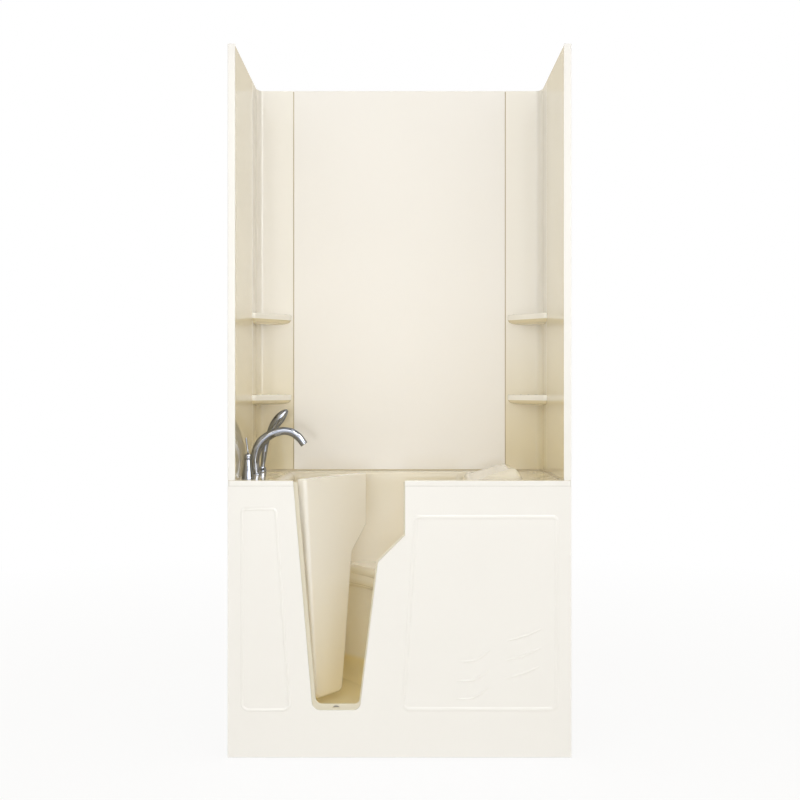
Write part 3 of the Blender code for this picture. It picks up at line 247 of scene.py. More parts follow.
doorway = {
    "corners": ((-0.370, 0.965), (-0.3024, 0.167), (-0.1386, 0.167), (-0.0754, 0.6807), (0.019, 0.774),
                (0.019, 0.965)),
    "apronRadii": (0.030, 0.025), "stopRadii": (0.024, 0.017), "notchRadius": 0.020, "shoulderRadius": 0.004,
    "stopInsets": (0.014, 0.021, 0.005, 0.005, 0.005), "leastRadius": 0.001, "steps": 12,
}


def doorwayLine(offset, top, inner=False):
    # the opening's outline from its top left down and up to its top right, moved outwards by the offset
    insets = doorway["stopInsets"] if inner else (0,) * 5
    moves = [offset - inset for inset in insets]
    edges = shiftedEdges(doorway["corners"], moves, False)

    def atTop(edge):
        x, z, dx, dz = edge
        return np.array([x + dx * (top - z) / dz, top])

    met = [atTop(edges[0])] + [meetPoint(a, b) for a, b in zip(edges, edges[1:])] + [atTop(edges[-1])]
    feet = doorway["stopRadii"] if inner else doorway["apronRadii"]
    radii = [feet[0] + offset, feet[1] + offset, doorway["notchRadius"] - moves[2],
             doorway["shoulderRadius"] + moves[3]]
    corners = [roundCorner(*met[index:index + 3], max(radius, doorway["leastRadius"]), doorway["steps"])
               for index, radius in enumerate(radii)]
    return np.vstack([met[0][None], *corners, met[-1][None]])


def doorwayRings(rings, inner=True):
    return np.stack([standing(doorwayLine(offset, top, inner), depth) for offset, depth, top in rings])


def alongDoorway(section, top):
    # a section of offsets and depths carried round the opening
    return np.stack([standing(doorwayLine(offset, top, True), depth) for offset, depth in section], 1)


# ---- materials


def feed(tree, socket, value):
    # a link where the value is another node's output, and otherwise a constant
    if isinstance(value, bpy.types.NodeSocket):
        tree.links.new(value, socket)
    else:
        socket.default_value = value


def newNode(tree, kind, settings, inputs):
    node = tree.nodes.new(kind)
    for label, value in settings.items():
        setattr(node, label, value)
    for label, value in inputs.items():
        feed(tree, node.inputs[label], value)
    return node


def mathNode(tree, operation, first, second):
    return newNode(tree, 'ShaderNodeMath', {"operation": operation}, {0: first, 1: second}).outputs[0]


def noiseNode(tree, vector, scale, detail=2.0, rough=0.5):
    return newNode(tree, 'ShaderNodeTexNoise', {}, {"Vector": vector, "Scale": scale, "Detail": detail,
                                                    "Roughness": rough}).outputs["Fac"]


def spread(tree, value, start, end, low, high, course='LINEAR'):
    # turns a value between start and end into one between low and high
    return newNode(tree, 'ShaderNodeMapRange', {"interpolation_type": course},
                   {"Value": value, "From Min": start, "From Max": end, "To Min": low,
                    "To Max": high}).outputs["Result"]


def mixNode(tree, share, first, second, mode='MIX'):
    return newNode(tree, 'ShaderNodeMix', {"data_type": 'RGBA', "blend_type": mode},
                   {"Factor": share, "A": first, "B": second}).outputs["Result"]


def bumpNode(tree, height, strength, distance):
    return newNode(tree, 'ShaderNodeBump', {}, {"Height": height, "Strength": strength,
                                                "Distance": distance}).outputs["Normal"]


# the kind of a group's socket, by how many numbers it holds
socketKinds = {1: 'NodeSocketFloat', 3: 'NodeSocketVector', 4: 'NodeSocketColor'}


def newGroup(name, inputs):
    # a group with its own inputs that puts out a colour, a roughness and a normal
    group = bpy.data.node_groups.new(name, 'ShaderNodeTree')
    for label, value in inputs.items():
        socket = group.interface.new_socket(label, in_out='INPUT', socket_type=socketKinds[np.size(value)])
        socket.default_value = value
    for label, size in (("Colour", 4), ("Roughness", 1), ("Normal", 3)):
        group.interface.new_socket(label, in_out='OUTPUT', socket_type=socketKinds[size])
    return group, group.nodes.new('NodeGroupInput').outputs, group.nodes.new('NodeGroupOutput').inputs


# scale and detail of each noise, the tones that they mix in, and the depth of their relief
grain = {"cloud": (3.0, 4.0), "stain": (0.55, 0.5, 0.4, 1), "wipe": (9.0, 3.0), "ripple": (26.0, 1.0),
         "rippleDepth": 0.001, "streak": (3.0, 0.6), "streakDepth": 0.0004, "handling": (18.0, 3.0),
         "handled": (0.62, 0.62, 0.64, 1), "rings": {"Scale": 22.0, "Distortion": 5.0, "Detail": 3.0},
         "ringRelief": (0.3, 0.001), "timberRough": 0.8}
white = (1, 1, 1, 1)


def makeCastGroup():
    # moulded surface: painted light and shade, a colour that turns with height from a painted low tone to the
    # upper one;
    # a faint cloudiness, wiped patches in the gloss and a slight ripple
    group, given, result = newGroup("castSurface", {
        "Colour": white, "Painted Low Tone": white, "Deep Level": 0.0, "Full Level": 1.0, "Cloud": 0.03, "Gloss": 0.12,
        "Wipe": 0.04, "Ripple": 0.02})
    place = group.nodes.new('ShaderNodeTexCoord').outputs["Object"]
    height = newNode(group, 'ShaderNodeSeparateXYZ', {}, {"Vector": place}).outputs["Z"]
    # painted light and shade: the share of the upper tone rises from the low level to the full level
    full = spread(group, height, given["Deep Level"], given["Full Level"], 0, 1, 'SMOOTHSTEP')
    cloud = mathNode(group, 'MULTIPLY', noiseNode(group, place, *grain["cloud"]), given["Cloud"])
    feed(group, result["Colour"], mixNode(group, 1.0, mixNode(group, full, given["Painted Low Tone"], given["Colour"]),
                                          mixNode(group, cloud, white, grain["stain"]), 'MULTIPLY'))
    wipe = mathNode(group, 'MULTIPLY', noiseNode(group, place, *grain["wipe"]), given["Wipe"])
    feed(group, result["Roughness"], mathNode(group, 'ADD', given["Gloss"], wipe))
    feed(group, result["Normal"], bumpNode(group, noiseNode(group, place, *grain["ripple"]), given["Ripple"],
                                           grain["rippleDepth"]))
    return group


def makeMetalGroup():
    # drawn or rolled metal: fine streaks along one direction, and patches of handling
    group, given, result = newGroup("workedMetal", {
        "Colour": white, "Stretch": (1, 1, 1), "Fineness": 300.0, "Gloss": 0.3, "Streak": 0.1, "Tone": 0.1,
        "Relief": 0.05})
    place = group.nodes.new('ShaderNodeTexCoord').outputs["Object"]
    long = newNode(group, 'ShaderNodeVectorMath', {"operation": 'MULTIPLY'}, {0: place, 1: given["Stretch"]})
    streak = noiseNode(group, long.outputs["Vector"], given["Fineness"], *grain["streak"])
    patch = mathNode(group, 'MULTIPLY', noiseNode(group, place, *grain["handling"]), given["Tone"])
    feed(group, result["Colour"], mixNode(group, patch, given["Colour"], grain["handled"], 'MULTIPLY'))
    rough = mathNode(group, 'ADD', given["Gloss"], mathNode(group, 'MULTIPLY', streak, given["Streak"]))
    feed(group, result["Roughness"], rough)
    feed(group, result["Normal"], bumpNode(group, streak, given["Relief"], grain["streakDepth"]))
    return group


castGroup, metalGroup = makeCastGroup(), makeMetalGroup()


def newMaterial(name):
    material = bpy.data.materials.new(name)
    material.use_nodes = True
    return material, material.node_tree, material.node_tree.nodes["Principled BSDF"].inputs


def finish(name, group, values, fixed):
    # a Principled material fed by one of the shared groups
    material, tree, sockets = newMaterial(name)
    effect = newNode(tree, 'ShaderNodeGroup', {"node_tree": group}, values).outputs
    sources = {"Base Color": effect["Colour"], "Roughness": effect["Roughness"], "Normal": effect["Normal"]}
    for label, value in (sources | fixed).items():
        feed(tree, sockets[label], value)
    return material


def woodMaterial(name, light, dark):
    # sawn timber: rings that run along X, broken by fine grain
    material, tree, sockets = newMaterial(name)
    place = tree.nodes.new('ShaderNodeTexCoord').outputs["Object"]
    rings = newNode(tree, 'ShaderNodeTexWave', {"bands_direction": 'Z'},
                    {"Vector": place} | grain["rings"]).outputs["Fac"]
    ramp = newNode(tree, 'ShaderNodeValToRGB', {}, {"Fac": rings})
    for stop, colour in zip(ramp.color_ramp.elements, (dark, light)):
        stop.color = (*colour, 1)
    feed(tree, sockets["Base Color"], ramp.outputs["Color"])
    feed(tree, sockets["Normal"], bumpNode(tree, rings, *grain["ringRelief"]))
    feed(tree, sockets["Roughness"], grain["timberRough"])
    return material


def acrylic(name, colour, gloss, deep=None, levels=(0, 1)):
    # the same glossy cast sheet everywhere; painted light and shade: its colour turns with height to a painted low
    # tone, and lit and shaded copies stand in for the light on the faces, the basin and the corners
    return finish(name, castGroup, {"Colour": (*colour, 1), "Painted Low Tone": (*(deep or colour), 1),
                                    "Deep Level": levels[0], "Full Level": levels[1], "Cloud": 0.03,
                                    "Gloss": gloss, "Wipe": gloss / 2, "Ripple": gloss / 6},
                  {"IOR": 1.49, "Coat Weight": 0.3, "Coat Roughness": 0.03})


def metal(name, colour, stretch, fineness, gloss, streak, tone, relief, metallic=1.0, edge=(1, 1, 1)):
    return finish(name, metalGroup, {"Colour": (*colour, 1), "Stretch": stretch, "Fineness": fineness,
                                     "Gloss": gloss, "Streak": streak, "Tone": tone, "Relief": relief},
                  {"Metallic": metallic, "Specular Tint": (*edge, 1)})


def matt(name, colour, cloud, gloss, wipe, ripple):
    return finish(name, castGroup, {"Colour": (*colour, 1), "Painted Low Tone": (*colour, 1), "Cloud": cloud,
                                    "Gloss": gloss, "Wipe": wipe, "Ripple": ripple}, {})


# the coats of the record's slots, by name
finishes = {
    # painted light and shade: the basin acrylic is darker on the deck and paler down in the basin, the wall
    # acrylic paler towards the deck
    "tub_acrylic": acrylic("basinLightShadeAcrylic", (0.84, 0.785, 0.655), 0.11, (0.945, 0.90, 0.795), (0.72, 0.92)),
    "surround_acrylic": acrylic("wallLightShadeAcrylic", (0.865, 0.845, 0.82), 0.07, (0.93, 0.91, 0.885), (0.96, 2.0)),
    "chrome": metal("polishedChrome", (0.33, 0.347, 0.388), (1, 1, 1), 40.0, 0.03, 0.03, 0.05, 0.005, 1.0,
                    (0.10, 0.105, 0.12)),
    "stainless": metal("brushedStainless", (0.62, 0.62, 0.61), (1, 1, 0.04), 900.0, 0.2, 0.25, 0.15, 0.08),
    "galvanised": metal("galvanisedSteel", (0.55, 0.56, 0.57), (1, 1, 1), 60.0, 0.3, 0.3, 0.6, 0.1, 0.8),
    "rubber": matt("greyRubber", (0.30, 0.29, 0.27), 0.2, 0.6, 0.2, 0.2),
    "sealant": matt("tanSealant", (0.50, 0.41, 0.26), 0.3, 0.4, 0.2, 0.3),
    "brass": metal("turnedBrass", (0.72, 0.52, 0.22), (0.05, 0.05, 1), 900.0, 0.15, 0.2, 0.2, 0.1),
    "pipe": matt("whitePipe", (0.80, 0.80, 0.78), 0.1, 0.35, 0.1, 0.1),
    "timber": woodMaterial("supportTimber", (0.62, 0.46, 0.28), (0.42, 0.29, 0.16)),
}
# painted light and shade: copies of the one acrylic, each lighter, or darker and yellower, to stand in for how
# light falls on its part
wellLightShadeAcrylic = acrylic("wellLightShadeAcrylic", (0.985, 0.95, 0.84), 0.11, (0.965, 0.865, 0.555), (0.225, 0.25))
litFaceAcrylic = acrylic("litFaceAcrylic", (0.868, 0.857, 0.842), 0.12)
doorLightShadeAcrylic = acrylic("doorLightShadeAcrylic", (0.93, 0.90, 0.835), 0.10, (0.92, 0.855, 0.70), (0.17, 0.75))
shadedJambAcrylic = acrylic("shadedJambAcrylic", (0.69, 0.643, 0.52), 0.12)
litPocketAcrylic = acrylic("litPocketAcrylic", (0.93, 0.90, 0.82), 0.12)
shadedSideAcrylic = acrylic("shadedSideAcrylic", (0.79, 0.735, 0.605), 0.02, (0.785, 0.70, 0.50), (1.0, 2.0))
shadedCornerAcrylic = acrylic("shadedCornerAcrylic", (0.87, 0.842, 0.785), 0.05, (0.80, 0.72, 0.515), (0.96, 1.65))
litShelfAcrylic = acrylic("litShelfAcrylic", (0.945, 0.925, 0.87), 0.08)
shadedShelfUnderside = acrylic("shadedShelfUnderside", (0.80, 0.715, 0.50), 0.08)
glassFibre = matt("glassFibreBack", (0.74, 0.70, 0.58), 0.25, 0.5, 0.25, 0.6)
sheetBack = matt("sheetBack", (0.80, 0.77, 0.70), 0.1, 0.4, 0.15, 0.1)
litBaseSealant = matt("litBaseSealant", (0.66, 0.58, 0.43), 0.3, 0.4, 0.2, 0.3)

# widths of the rounds on sharp edges, and the least share of a direction with which a face counts as turned to it
rounding = {"steel": 0.0006, "sheet": 0.0008, "liner": 0.0010, "door": 0.0012}
turnedAway, turnedUp = 0.3, 0.7


def coverFaces(piece, front, back, away):
    # the moulded face in one coat, and the faces that look away from it in another: the sheet's real back, or a
    # shaded copy of the acrylic as painted shade
    piece.data.materials.append(front)
    piece.data.materials.append(back)
    away = np.array(away) / np.linalg.norm(away)
    for face in piece.data.polygons:
        face.material_index = int(np.dot(face.normal, away) > turnedAway)
    return piece


def place(piece, body, slotName, *nodes, coat=None):
    # a piece that has its coats already keeps them
    if not piece.data.materials:
        piece.data.materials.append(coat or finishes[slotName])
    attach(piece, body)
    if nodes:
        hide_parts(*nodes)
    return piece


for row in frame["record"]["subparts"]:
    node = frame["nodes"][row["node"]]
    node.data.materials.clear()
    node.data.materials.append(finishes[row["material_slot"]])
    if row["material_slot"] in ("galvanised", "stainless", "timber"):
        soften(node, rounding["steel"], segments=2)
print("materials made")

# ---- tub shell

tub = {
    "lipEdge": 0.003, "lipCorner": 0.009, "deckRound": 0.025, "frontRound": 0.017, "frontCorner": 0.012,
    "rearCorner": 0.030, "headrestFoot": 0.437, "headrestEnd": 0.280, "crestRise": 0.036, "crestFall": 0.0005,
    "crest": ((0, 0), (0.083, 0.72), (0.21, 1), (0.586, 0.58), (1, 0)),
    "headrestFront": 0.080, "headrestRear": 0.552, "headrestFade": 0.045, "innerFoot": 0.252, "innerFall": 0.018,
    "backrest": 0.245, "backrestFall": 0.050, "backrestTop": 0.915, "lean": 0.012, "leanStart": 0.2,
    "backrestRows": 4, "seatCove": 0.032, "noseFront": -0.050, "noseRear": -0.270, "nosePower": 2.8,
    "noseRise": 0.052, "noseTop": 0.006, "bead": 0.0185, "bulge": 0.014, "recess": 0.034, "floorCove": 0.075,
    "frontCove": 0.012, "pocket": 0.018, "pocketStart": 0.001, "pocketReach": 0.012, "mouthReach": 0.002,
    "arcSteps": 9, "sideSteps": 40, "endSteps": 30, "crestSteps": 6, "noseSteps": 7, "recessSteps": 6,
    "beadTurns": ((90, -60, 16), (30, -90, 13)), "litLipCoat": 2, "wellLightShadeCoat": 3,
}
# how far a cutter reaches past the surface that it cuts, and below the deck and the floor
cutting = {"over": 0.004, "under": 0.009}


def noseAt(depth):
    share = (depth - bath["frontWall"]) / (bath["rearWall"] - bath["frontWall"])
    return tub["noseFront"] + (tub["noseRear"] - tub["noseFront"]) * np.maximum(share, 0) ** tub["nosePower"]


def straight(x):
    return lambda depth: x + 0 * depth


def planRing(leftOf, rightOf, front, rear, frontCorner, rearCorner):
    # a rounded rectangle in plan: x, depth and the share of the way from left to right
    quarter = np.linspace(0, pi / 2, tub["arcSteps"] + 1)

    def arc(sideOf, depth, radius, start, share):
        angle = radians(start) + quarter
        spot = depth + radius * np.sin(angle)
        inward = radius * (1 - np.abs(np.cos(angle)))
        x = sideOf(spot) - inward if share else sideOf(spot) + inward
        return np.stack([x, spot, np.full(len(spot), float(share))], -1)

    def side(sideOf, start, end, share):
        t = np.arange(1, tub["sideSteps"]) / tub["sideSteps"]
        depth = start + (end - start) * t
        return np.stack([sideOf(depth) + 0 * depth, depth, np.full(len(t), float(share))], -1)

    low = leftOf(np.array(front)) + frontCorner
    high = rightOf(np.array(front)) - frontCorner

    def end(start, finish, depth):
        t = np.arange(1, tub["endSteps"]) / tub["endSteps"]
        x = start + (finish - start) * t
        return np.stack([x, np.full(len(t), depth), (x - low) / (high - low)], -1)

    return np.vstack([
        arc(rightOf, front + frontCorner, frontCorner, -90, 1),
        side(rightOf, front + frontCorner, rear - rearCorner, 1),
        arc(rightOf, rear - rearCorner, rearCorner, 0, 1),
        end(rightOf(np.array(rear)) - rearCorner, leftOf(np.array(rear)) + rearCorner, rear),
        arc(leftOf, rear - rearCorner, rearCorner, 90, 0),
        side(leftOf, rear - rearCorner, front + frontCorner, 0),
        arc(leftOf, front + frontCorner, frontCorner, 180, 0),
        end(low, high, front)])


def basinRing(leftX, rightOf, front=bath["frontWall"], rear=bath["rearWall"]):
    return planRing(straight(leftX), rightOf, front, rear, tub["frontCorner"], tub["rearCorner"])


def rimRings():
    # lip: straight down, then rounded on to the deck
    half, edge, corner = bath["halfWidth"], tub["lipEdge"], tub["lipCorner"]
    rings = []
    lip = [(0, bath["lipDrop"])] + [(edge * gone, edge * left) for left, gone in quarterRound(arcs["small"])]
    for inset, drop in lip:
        ring = planRing(straight(-half + inset), straight(half - inset), inset, bath["depth"] - inset,
                        corner, corner)
        rings.append(lying(ring, deckAt(ring[:, 1]) - drop))

    # basin edge: a quarter round that climbs over the headrest at the right end
    run = tub["headrestEnd"] - tub["headrestFoot"]
    table = [(tub["headrestFoot"] + run * along, tub["crestRise"] * up, tub["crestFall"] * step)
             for step, (along, up) in enumerate(tub["crest"])]
    table += [(tub["innerFoot"], 0, tub["innerFall"]), (tub["backrest"], 0, tub["backrestFall"])]
    fine = smoothLine(table, tub["crestSteps"])
    for (rightX, rise, fall), (left, gone) in zip(fine, quarterRound(len(fine))):
        ring = basinRing(bath["basinLeft"] - tub["deckRound"] * left, straight(rightX),
                         bath["frontWall"] - tub["frontRound"] * left,
                         bath["rearWall"] + tub["deckRound"] * left)
        drop = tub["deckRound"] * gone
        depth, share = ring[:, 1], ring[:, 2]
        swell = (smoothStep((depth - tub["headrestFront"]) / tub["headrestFade"])
                 * smoothStep((tub["headrestRear"] - depth) / tub["headrestFade"]))
        rings.append(lying(ring, deckAt(depth) - drop + share * (drop - fall + max(rise, 0) * swell)))
    return rings


def basinRings():
    # backrest, seat, double-beaded nose and riser: x of the right end, the share with which it follows the nose
    # in place of that x, its distance from the nose, and its height
    seat, cove, bead, bulge = bath["seat"], tub["seatCove"], tub["bead"], tub["bulge"]
    backX, lean, top, rows = tub["backrest"], tub["lean"], tub["backrestTop"], tub["backrestRows"]
    right = [(backX - lean * t, 0, 0, top + (seat + cove - top) * t)
             for t in np.linspace(tub["leanStart"], 1, rows + 1)[:-1]]
    right += [(backX - lean - cove * gone, 0, 0, seat + cove * left)
              for left, gone in quarterRound(arcs["middle"])]
    right += [(backX - lean - cove, t, bulge, seat) for t in np.linspace(0, 1, tub["noseSteps"])[1:-1]]
    for number, turn in enumerate(tub["beadTurns"]):
        middle = seat - bead * (2 * number + 1)
        right += [(0, 1, bulge * (1 - cos(angle)), middle + bead * sin(angle))
                  for angle in np.radians(np.linspace(*turn))]
    riserTop = seat - 4 * bead
    right += [(0, 1, bulge + (tub["recess"] - bulge) * smoothStep(t), riserTop - bead * t)
              for t in np.linspace(0, 1, tub["recessSteps"])[1:]]
    leftTop, leftFoot = seat + tub["noseRise"], riserTop - bead
    rings = []
    for index, (x, onNose, beyond, height) in enumerate(right):
        ring = basinRing(bath["basinLeft"], lambda depth: x * (1 - onNose) + (noseAt(depth) + beyond) * onNose)
        leftHeight = max(leftTop, height) if index < rows else (
            leftTop + (leftFoot - leftTop) * (index - rows) / (len(right) - 1 - rows))
        rings.append(lying(ring, leftHeight + (height - leftHeight) * ring[:, 2]))

    # floor cove
    for left, gone in quarterRound(arcs["large"]):
        inset = tub["floorCove"] * gone
        ring = basinRing(bath["basinLeft"] + inset, lambda depth: noseAt(depth) + tub["recess"] - inset,
                         bath["frontWall"] + tub["frontCove"] * gone, bath["rearWall"] - inset)
        rings.append(lying(ring, bath["floor"] + tub["floorCove"] * left))
    return rings


def makeTubShell():
    grid = np.stack(rimRings() + basinRings())
    rows, columns = grid.shape[:2]
    faces = gridFaces(rows, columns)
    faces.append(list(range((rows - 1) * columns, rows * columns)))
    shell = putMesh("tubShell", grid, faces)
    shape = bmesh.new()
    shape.from_mesh(shell.data)
    bmesh.ops.recalc_face_normals(shape, faces=shape.faces)
    shape.faces.ensure_lookup_table()
    if shape.faces[-1].normal.z < 0:
        bmesh.ops.reverse_faces(shape, faces=shape.faces)
    shape.to_mesh(shell.data)
    shape.free()
    wall = shell.modifiers.new("wall", 'SOLIDIFY')
    wall.thickness, wall.offset, wall.use_even_offset, wall.material_offset = bath["wall"], -1, True, 1
    for coat in (finishes["tub_acrylic"], glassFibre, litFaceAcrylic, wellLightShadeAcrylic):
        shell.data.materials.append(coat)
    applyModifiers(shell)
    high, behindStop = bath["rim"] + cutting["over"], tub["pocket"] + bath["gap"]
    pocket = [(behindStop, bath["apronReturn"] + tub["pocketStart"], high),
              (behindStop, bath["frontWall"] + tub["pocketReach"], high)]
    mouth = [(0, -cutting["over"], high), (0, bath["apronReturn"] + tub["mouthReach"], high)]
    carve(shell, gridPiece("pocket", doorwayRings(pocket)), gridPiece("mouth", doorwayRings(mouth, False)),
          selfCrossing=True)
    return shell


def turning(x, depth, height, axis='Z', lean=0.0):
    # a frame for turned pieces: upright, which may lean, or pointing right (X)
    turn = Matrix.Rotation(radians(90) if axis == 'X' else lean, 4, 'Y')
    return Matrix.Translation((x, yAt(depth), height)) @ turn


def turnedPiece(name, profile, stand, sides=48, looped=False, flute=1):
    # a profile of radius and height turned about the frame's own axis, with its radius scaled round the turn
    angle = np.arange(sides) * 2 * pi / sides
    profile = np.asarray(profile, dtype=float)
    local = np.stack([profile[:, :1] * flute * np.cos(angle), profile[:, :1] * flute * np.sin(angle),
                      profile[:, 1:] + 0 * angle, np.ones((len(profile), sides))], -1)
    return gridPiece(name, (local @ np.array(stand).T)[..., :3], wrapRows=looped)


shell = makeTubShell()
drain = {"x": -0.280, "depth": 0.480, "flange": 0.036, "wall": 0.0025, "tube": 0.021, "tubeGap": 0.0007,
         "bore": 0.0175, "length": 0.072, "stopper": 0.026, "cap": 0.004, "stem": 0.004, "stemLength": 0.030,
         "rim": ((1, 0), (0.995, 0.4), (0.95, 0.88), (0.90, 1)), "throat": ((1.12, 0.84), (1, 0.5)),
         "dome": ((0.98, 0), (1, 0.2), (0.98, 0.5), (0.86, 0.85), (0.5, 0.97), (0.1, 1))}
overflow = {"height": 0.840, "plate": 0.036, "wall": 0.004, "bore": 0.0165, "knob": 0.024, "tall": 0.014,
            "plateRim": ((1, 0.4), (0.97, 0.75), (0.9, 1)), "flutes": 6, "fluteDepth": 0.05, "sides": 72,
            "grip": ((1, 0), (1, 0.7), (0.96, 0.86), (0.85, 0.97), (0.7, 1))}
fillerX = -0.538
fillers = {"valve": 0.098, "spout": 0.362, "shower": 0.552, "hole": 0.0117}


def hole(radius, stand, level, sides):
    ends = [(radius, level - cutting["under"]), (radius, level + cutting["over"])]
    return turnedPiece("hole", ends, stand, sides)


holes = [hole(fillers["hole"], turning(fillerX, fillers[key], 0), deckAt(fillers[key]), sides=24)
         for key in ("valve", "spout", "shower")]
holes += [hole(drain["tube"] + drain["tubeGap"], turning(drain["x"], drain["depth"], 0), bath["floor"], sides=32),
          hole(overflow["bore"], turning(bath["basinLeft"], drain["depth"], overflow["height"], 'X'), 0,
               sides=32)]
carve(shell, *holes)
shade(shell, crease=40)
place(shell, "tub", "tub_acrylic", "tub_shell")
# painted light and shade: the lip takes the lit copy of the acrylic that the apron has, and the foot well a copy
# painted lighter on its walls and darker and yellower towards its floor
for face in shell.data.polygons:
    x, y, z = face.center
    outermost = max(abs(x) - bath["halfWidth"], abs(y) + bath["frontY"]) > -tub["lipEdge"]
    if outermost and z > bath["seat"] and abs(face.normal.z) < turnedUp:
        face.material_index = tub["litLipCoat"]
    elif face.material_index == 0 and z < bath["seat"] - tub["noseTop"]:
        face.material_index = tub["wellLightShadeCoat"]
levelFaces(shell)
print("tub shell made", len(shell.data.polygons))

# ---- apron with its raised beads and ripple strokes

apron = {
    "wall": 0.004, "foot": 0.003, "edge": 0.0022, "beadTopCorner": 0.020, "beadFootCorner": 0.030,
    "leastCorner": 0.001, "beadProud": 0.003, "beadPower": 1.3, "beadSunk": 0.0005, "leftBead": 0.014,
    "rightBead": 0.019, "leftFrame": ((-0.554, 0.873), (-0.554, 0.161), (-0.374, 0.161), (-0.424, 0.873)),
    "rightFrame": ((0.047, 0.847), (0.002, 0.161), (0.554, 0.161), (0.554, 0.847)),
    "rippleWidth": 0.012, "rippleTip": 0.25, "ripplePower": 0.6, "rippleProud": 0.003, "rippleTipProud": 0.15,
    "rippleRound": 1.2, "rippleSunk": 0.0004, "rippleFrom": (0.002, 0.161), "rippleSize": (0.552, 0.686),
    "ripples": (((0.661, 0.359), (0.794, 0.389), (0.904, 0.427)),
                ((0.359, 0.257), (0.471, 0.264), (0.576, 0.319))),
    "rippleMoves": ((0, 0), (-0.007, -0.099), (-0.013, -0.191)),
    "beadSteps": 13, "cornerSteps": 12, "rippleSteps": 12, "rippleSides": 9,
}


def beadFrame(corners, width):
    # a half-round section carried round the panel, its feet flared into the face
    lines = []
    for share in np.linspace(0, 1, apron["beadSteps"]):
        inset = width * share
        edges = shiftedEdges(corners, [-inset] * 4, True)
        met = [meetPoint(edges[k - 1], edges[k]) for k in range(4)]
        radii = [max(apron[key] - inset, apron["leastCorner"]) for key in
                 ("beadTopCorner", "beadFootCorner", "beadFootCorner", "beadTopCorner")]
        proud = apron["beadProud"] * sin(pi * share) ** apron["beadPower"]
        lines.append(standing(roundOutline(met, radii, apron["cornerSteps"]), apron["beadSunk"] - proud))
    return gridPiece("bead", np.stack(lines, 1), wrapRows=True, crease=80)


def stroke(points):
    # a raised stroke that thins out towards both ends
    line = smoothLine(points, apron["rippleSteps"])
    t = np.linspace(0, 1, len(line))[:, None]
    ahead = np.gradient(line, axis=0)
    ahead /= np.linalg.norm(ahead, axis=1)[:, None]
    side = np.stack([-ahead[:, 1], ahead[:, 0]], -1)
    across = np.linspace(-1, 1, apron["rippleSides"])[None, :]
    swell = np.clip(np.sin(pi * t), 0, 1)
    tip, tipProud = apron["rippleTip"], apron["rippleTipProud"]
    half = apron["rippleWidth"] / 2 * (tip + (1 - tip) * swell ** apron["ripplePower"])
    x = line[:, :1] + side[:, :1] * half * across
    z = line[:, 1:] + side[:, 1:] * half * across
    arch = np.cos(across * pi / 2) ** apron["rippleRound"]
    lift = apron["rippleProud"] * (tipProud + (1 - tipProud) * swell) * arch
    return gridPiece("stroke", np.stack([x, yAt(apron["rippleSunk"] - lift), z], -1), crease=80)


def makeApron():
    top, half, foot = bath["rim"] - bath["lipDrop"] - 2 * bath["gap"], bath["halfWidth"], apron["foot"]

    def ring(inset, depth, topDrop=0.0):
        high = top - topDrop
        outer = np.array([(-half + inset, high), (-half + inset, foot + inset), (half - inset, foot + inset),
                          (half - inset, high)])
        return standing(np.vstack([outer, doorwayLine(inset, high)[::-1]]), depth)

    edge, wall = apron["edge"], apron["wall"]
    rings = [ring(edge * left, edge * gone) for left, gone in quarterRound(arcs["small"])]
    rings += [ring(0, bath["apronReturn"]), ring(wall, bath["apronReturn"], wall), ring(wall, wall, wall)]
    parts = [gridPiece("plate", np.stack(rings)), beadFrame(apron["leftFrame"], apron["leftBead"]),
             beadFrame(apron["rightFrame"], apron["rightBead"])]
    (fromX, fromZ), (wide, high) = apron["rippleFrom"], apron["rippleSize"]
    for group in apron["ripples"]:
        for moveX, moveZ in apron["rippleMoves"]:
            parts.append(stroke([(fromX + wide * (x + moveX), fromZ + high * (z + moveZ)) for x, z in group]))
    return join("frontApron", parts)


# painted light: the apron's face takes the lit copy of the acrylic; its back is the real glass fibre
place(levelFaces(coverFaces(makeApron(), litFaceAcrylic, glassFibre, (0, 1, 0))),
      "tub", "tub_acrylic", "front_apron")
print("apron made")

# ---- jamb with its weep hole, and the gasket on the stop

jamb = {"stopWall": 0.004, "pocket": 0.014, "seat": 0.030, "top": 0.959, "weepWidth": 0.026, "weepHeight": 0.011,
        "weepX": -0.2205, "weepZ": 0.177, "weepSteps": 16,
        "rounds": (0.0016, 0, 0, 0, 0.0015, 0.0015, 0.003, 0.0016)}
seal = {"inset": 0.002, "width": 0.010, "height": 0.003, "shoulder": 0.75,
        "rounds": (0.0008, 0.0008, 0.002, 0.002, 0.002)}


def makeJamb():
    front = bath["apronReturn"] + bath["gap"]
    back, wall = front + jamb["stopWall"], jamb["stopWall"]
    inner, outer, reach = jamb["pocket"], jamb["pocket"] + wall, jamb["seat"]
    section = roundOutline([(0, front), (reach, front), (reach, back), (outer, back), (outer, bath["frontWall"]),
                            (inner, bath["frontWall"]), (inner, back), (0, back)], jamb["rounds"], steps=4)
    piece = gridPiece("doorJamb", alongDoorway(section, jamb["top"]))
    half, rise = jamb["weepWidth"] / 2, jamb["weepHeight"] / 2
    angle = np.linspace(0, pi, jamb["weepSteps"])
    arc = np.stack([jamb["weepX"] + half * np.cos(angle), jamb["weepZ"] - rise + 2 * rise * np.sin(angle)], -1)
    carve(piece, gridPiece("weep", np.stack([standing(arc, front - cutting["over"]),
                                             standing(arc, back + cutting["over"])])))
    shade(piece)
    return piece


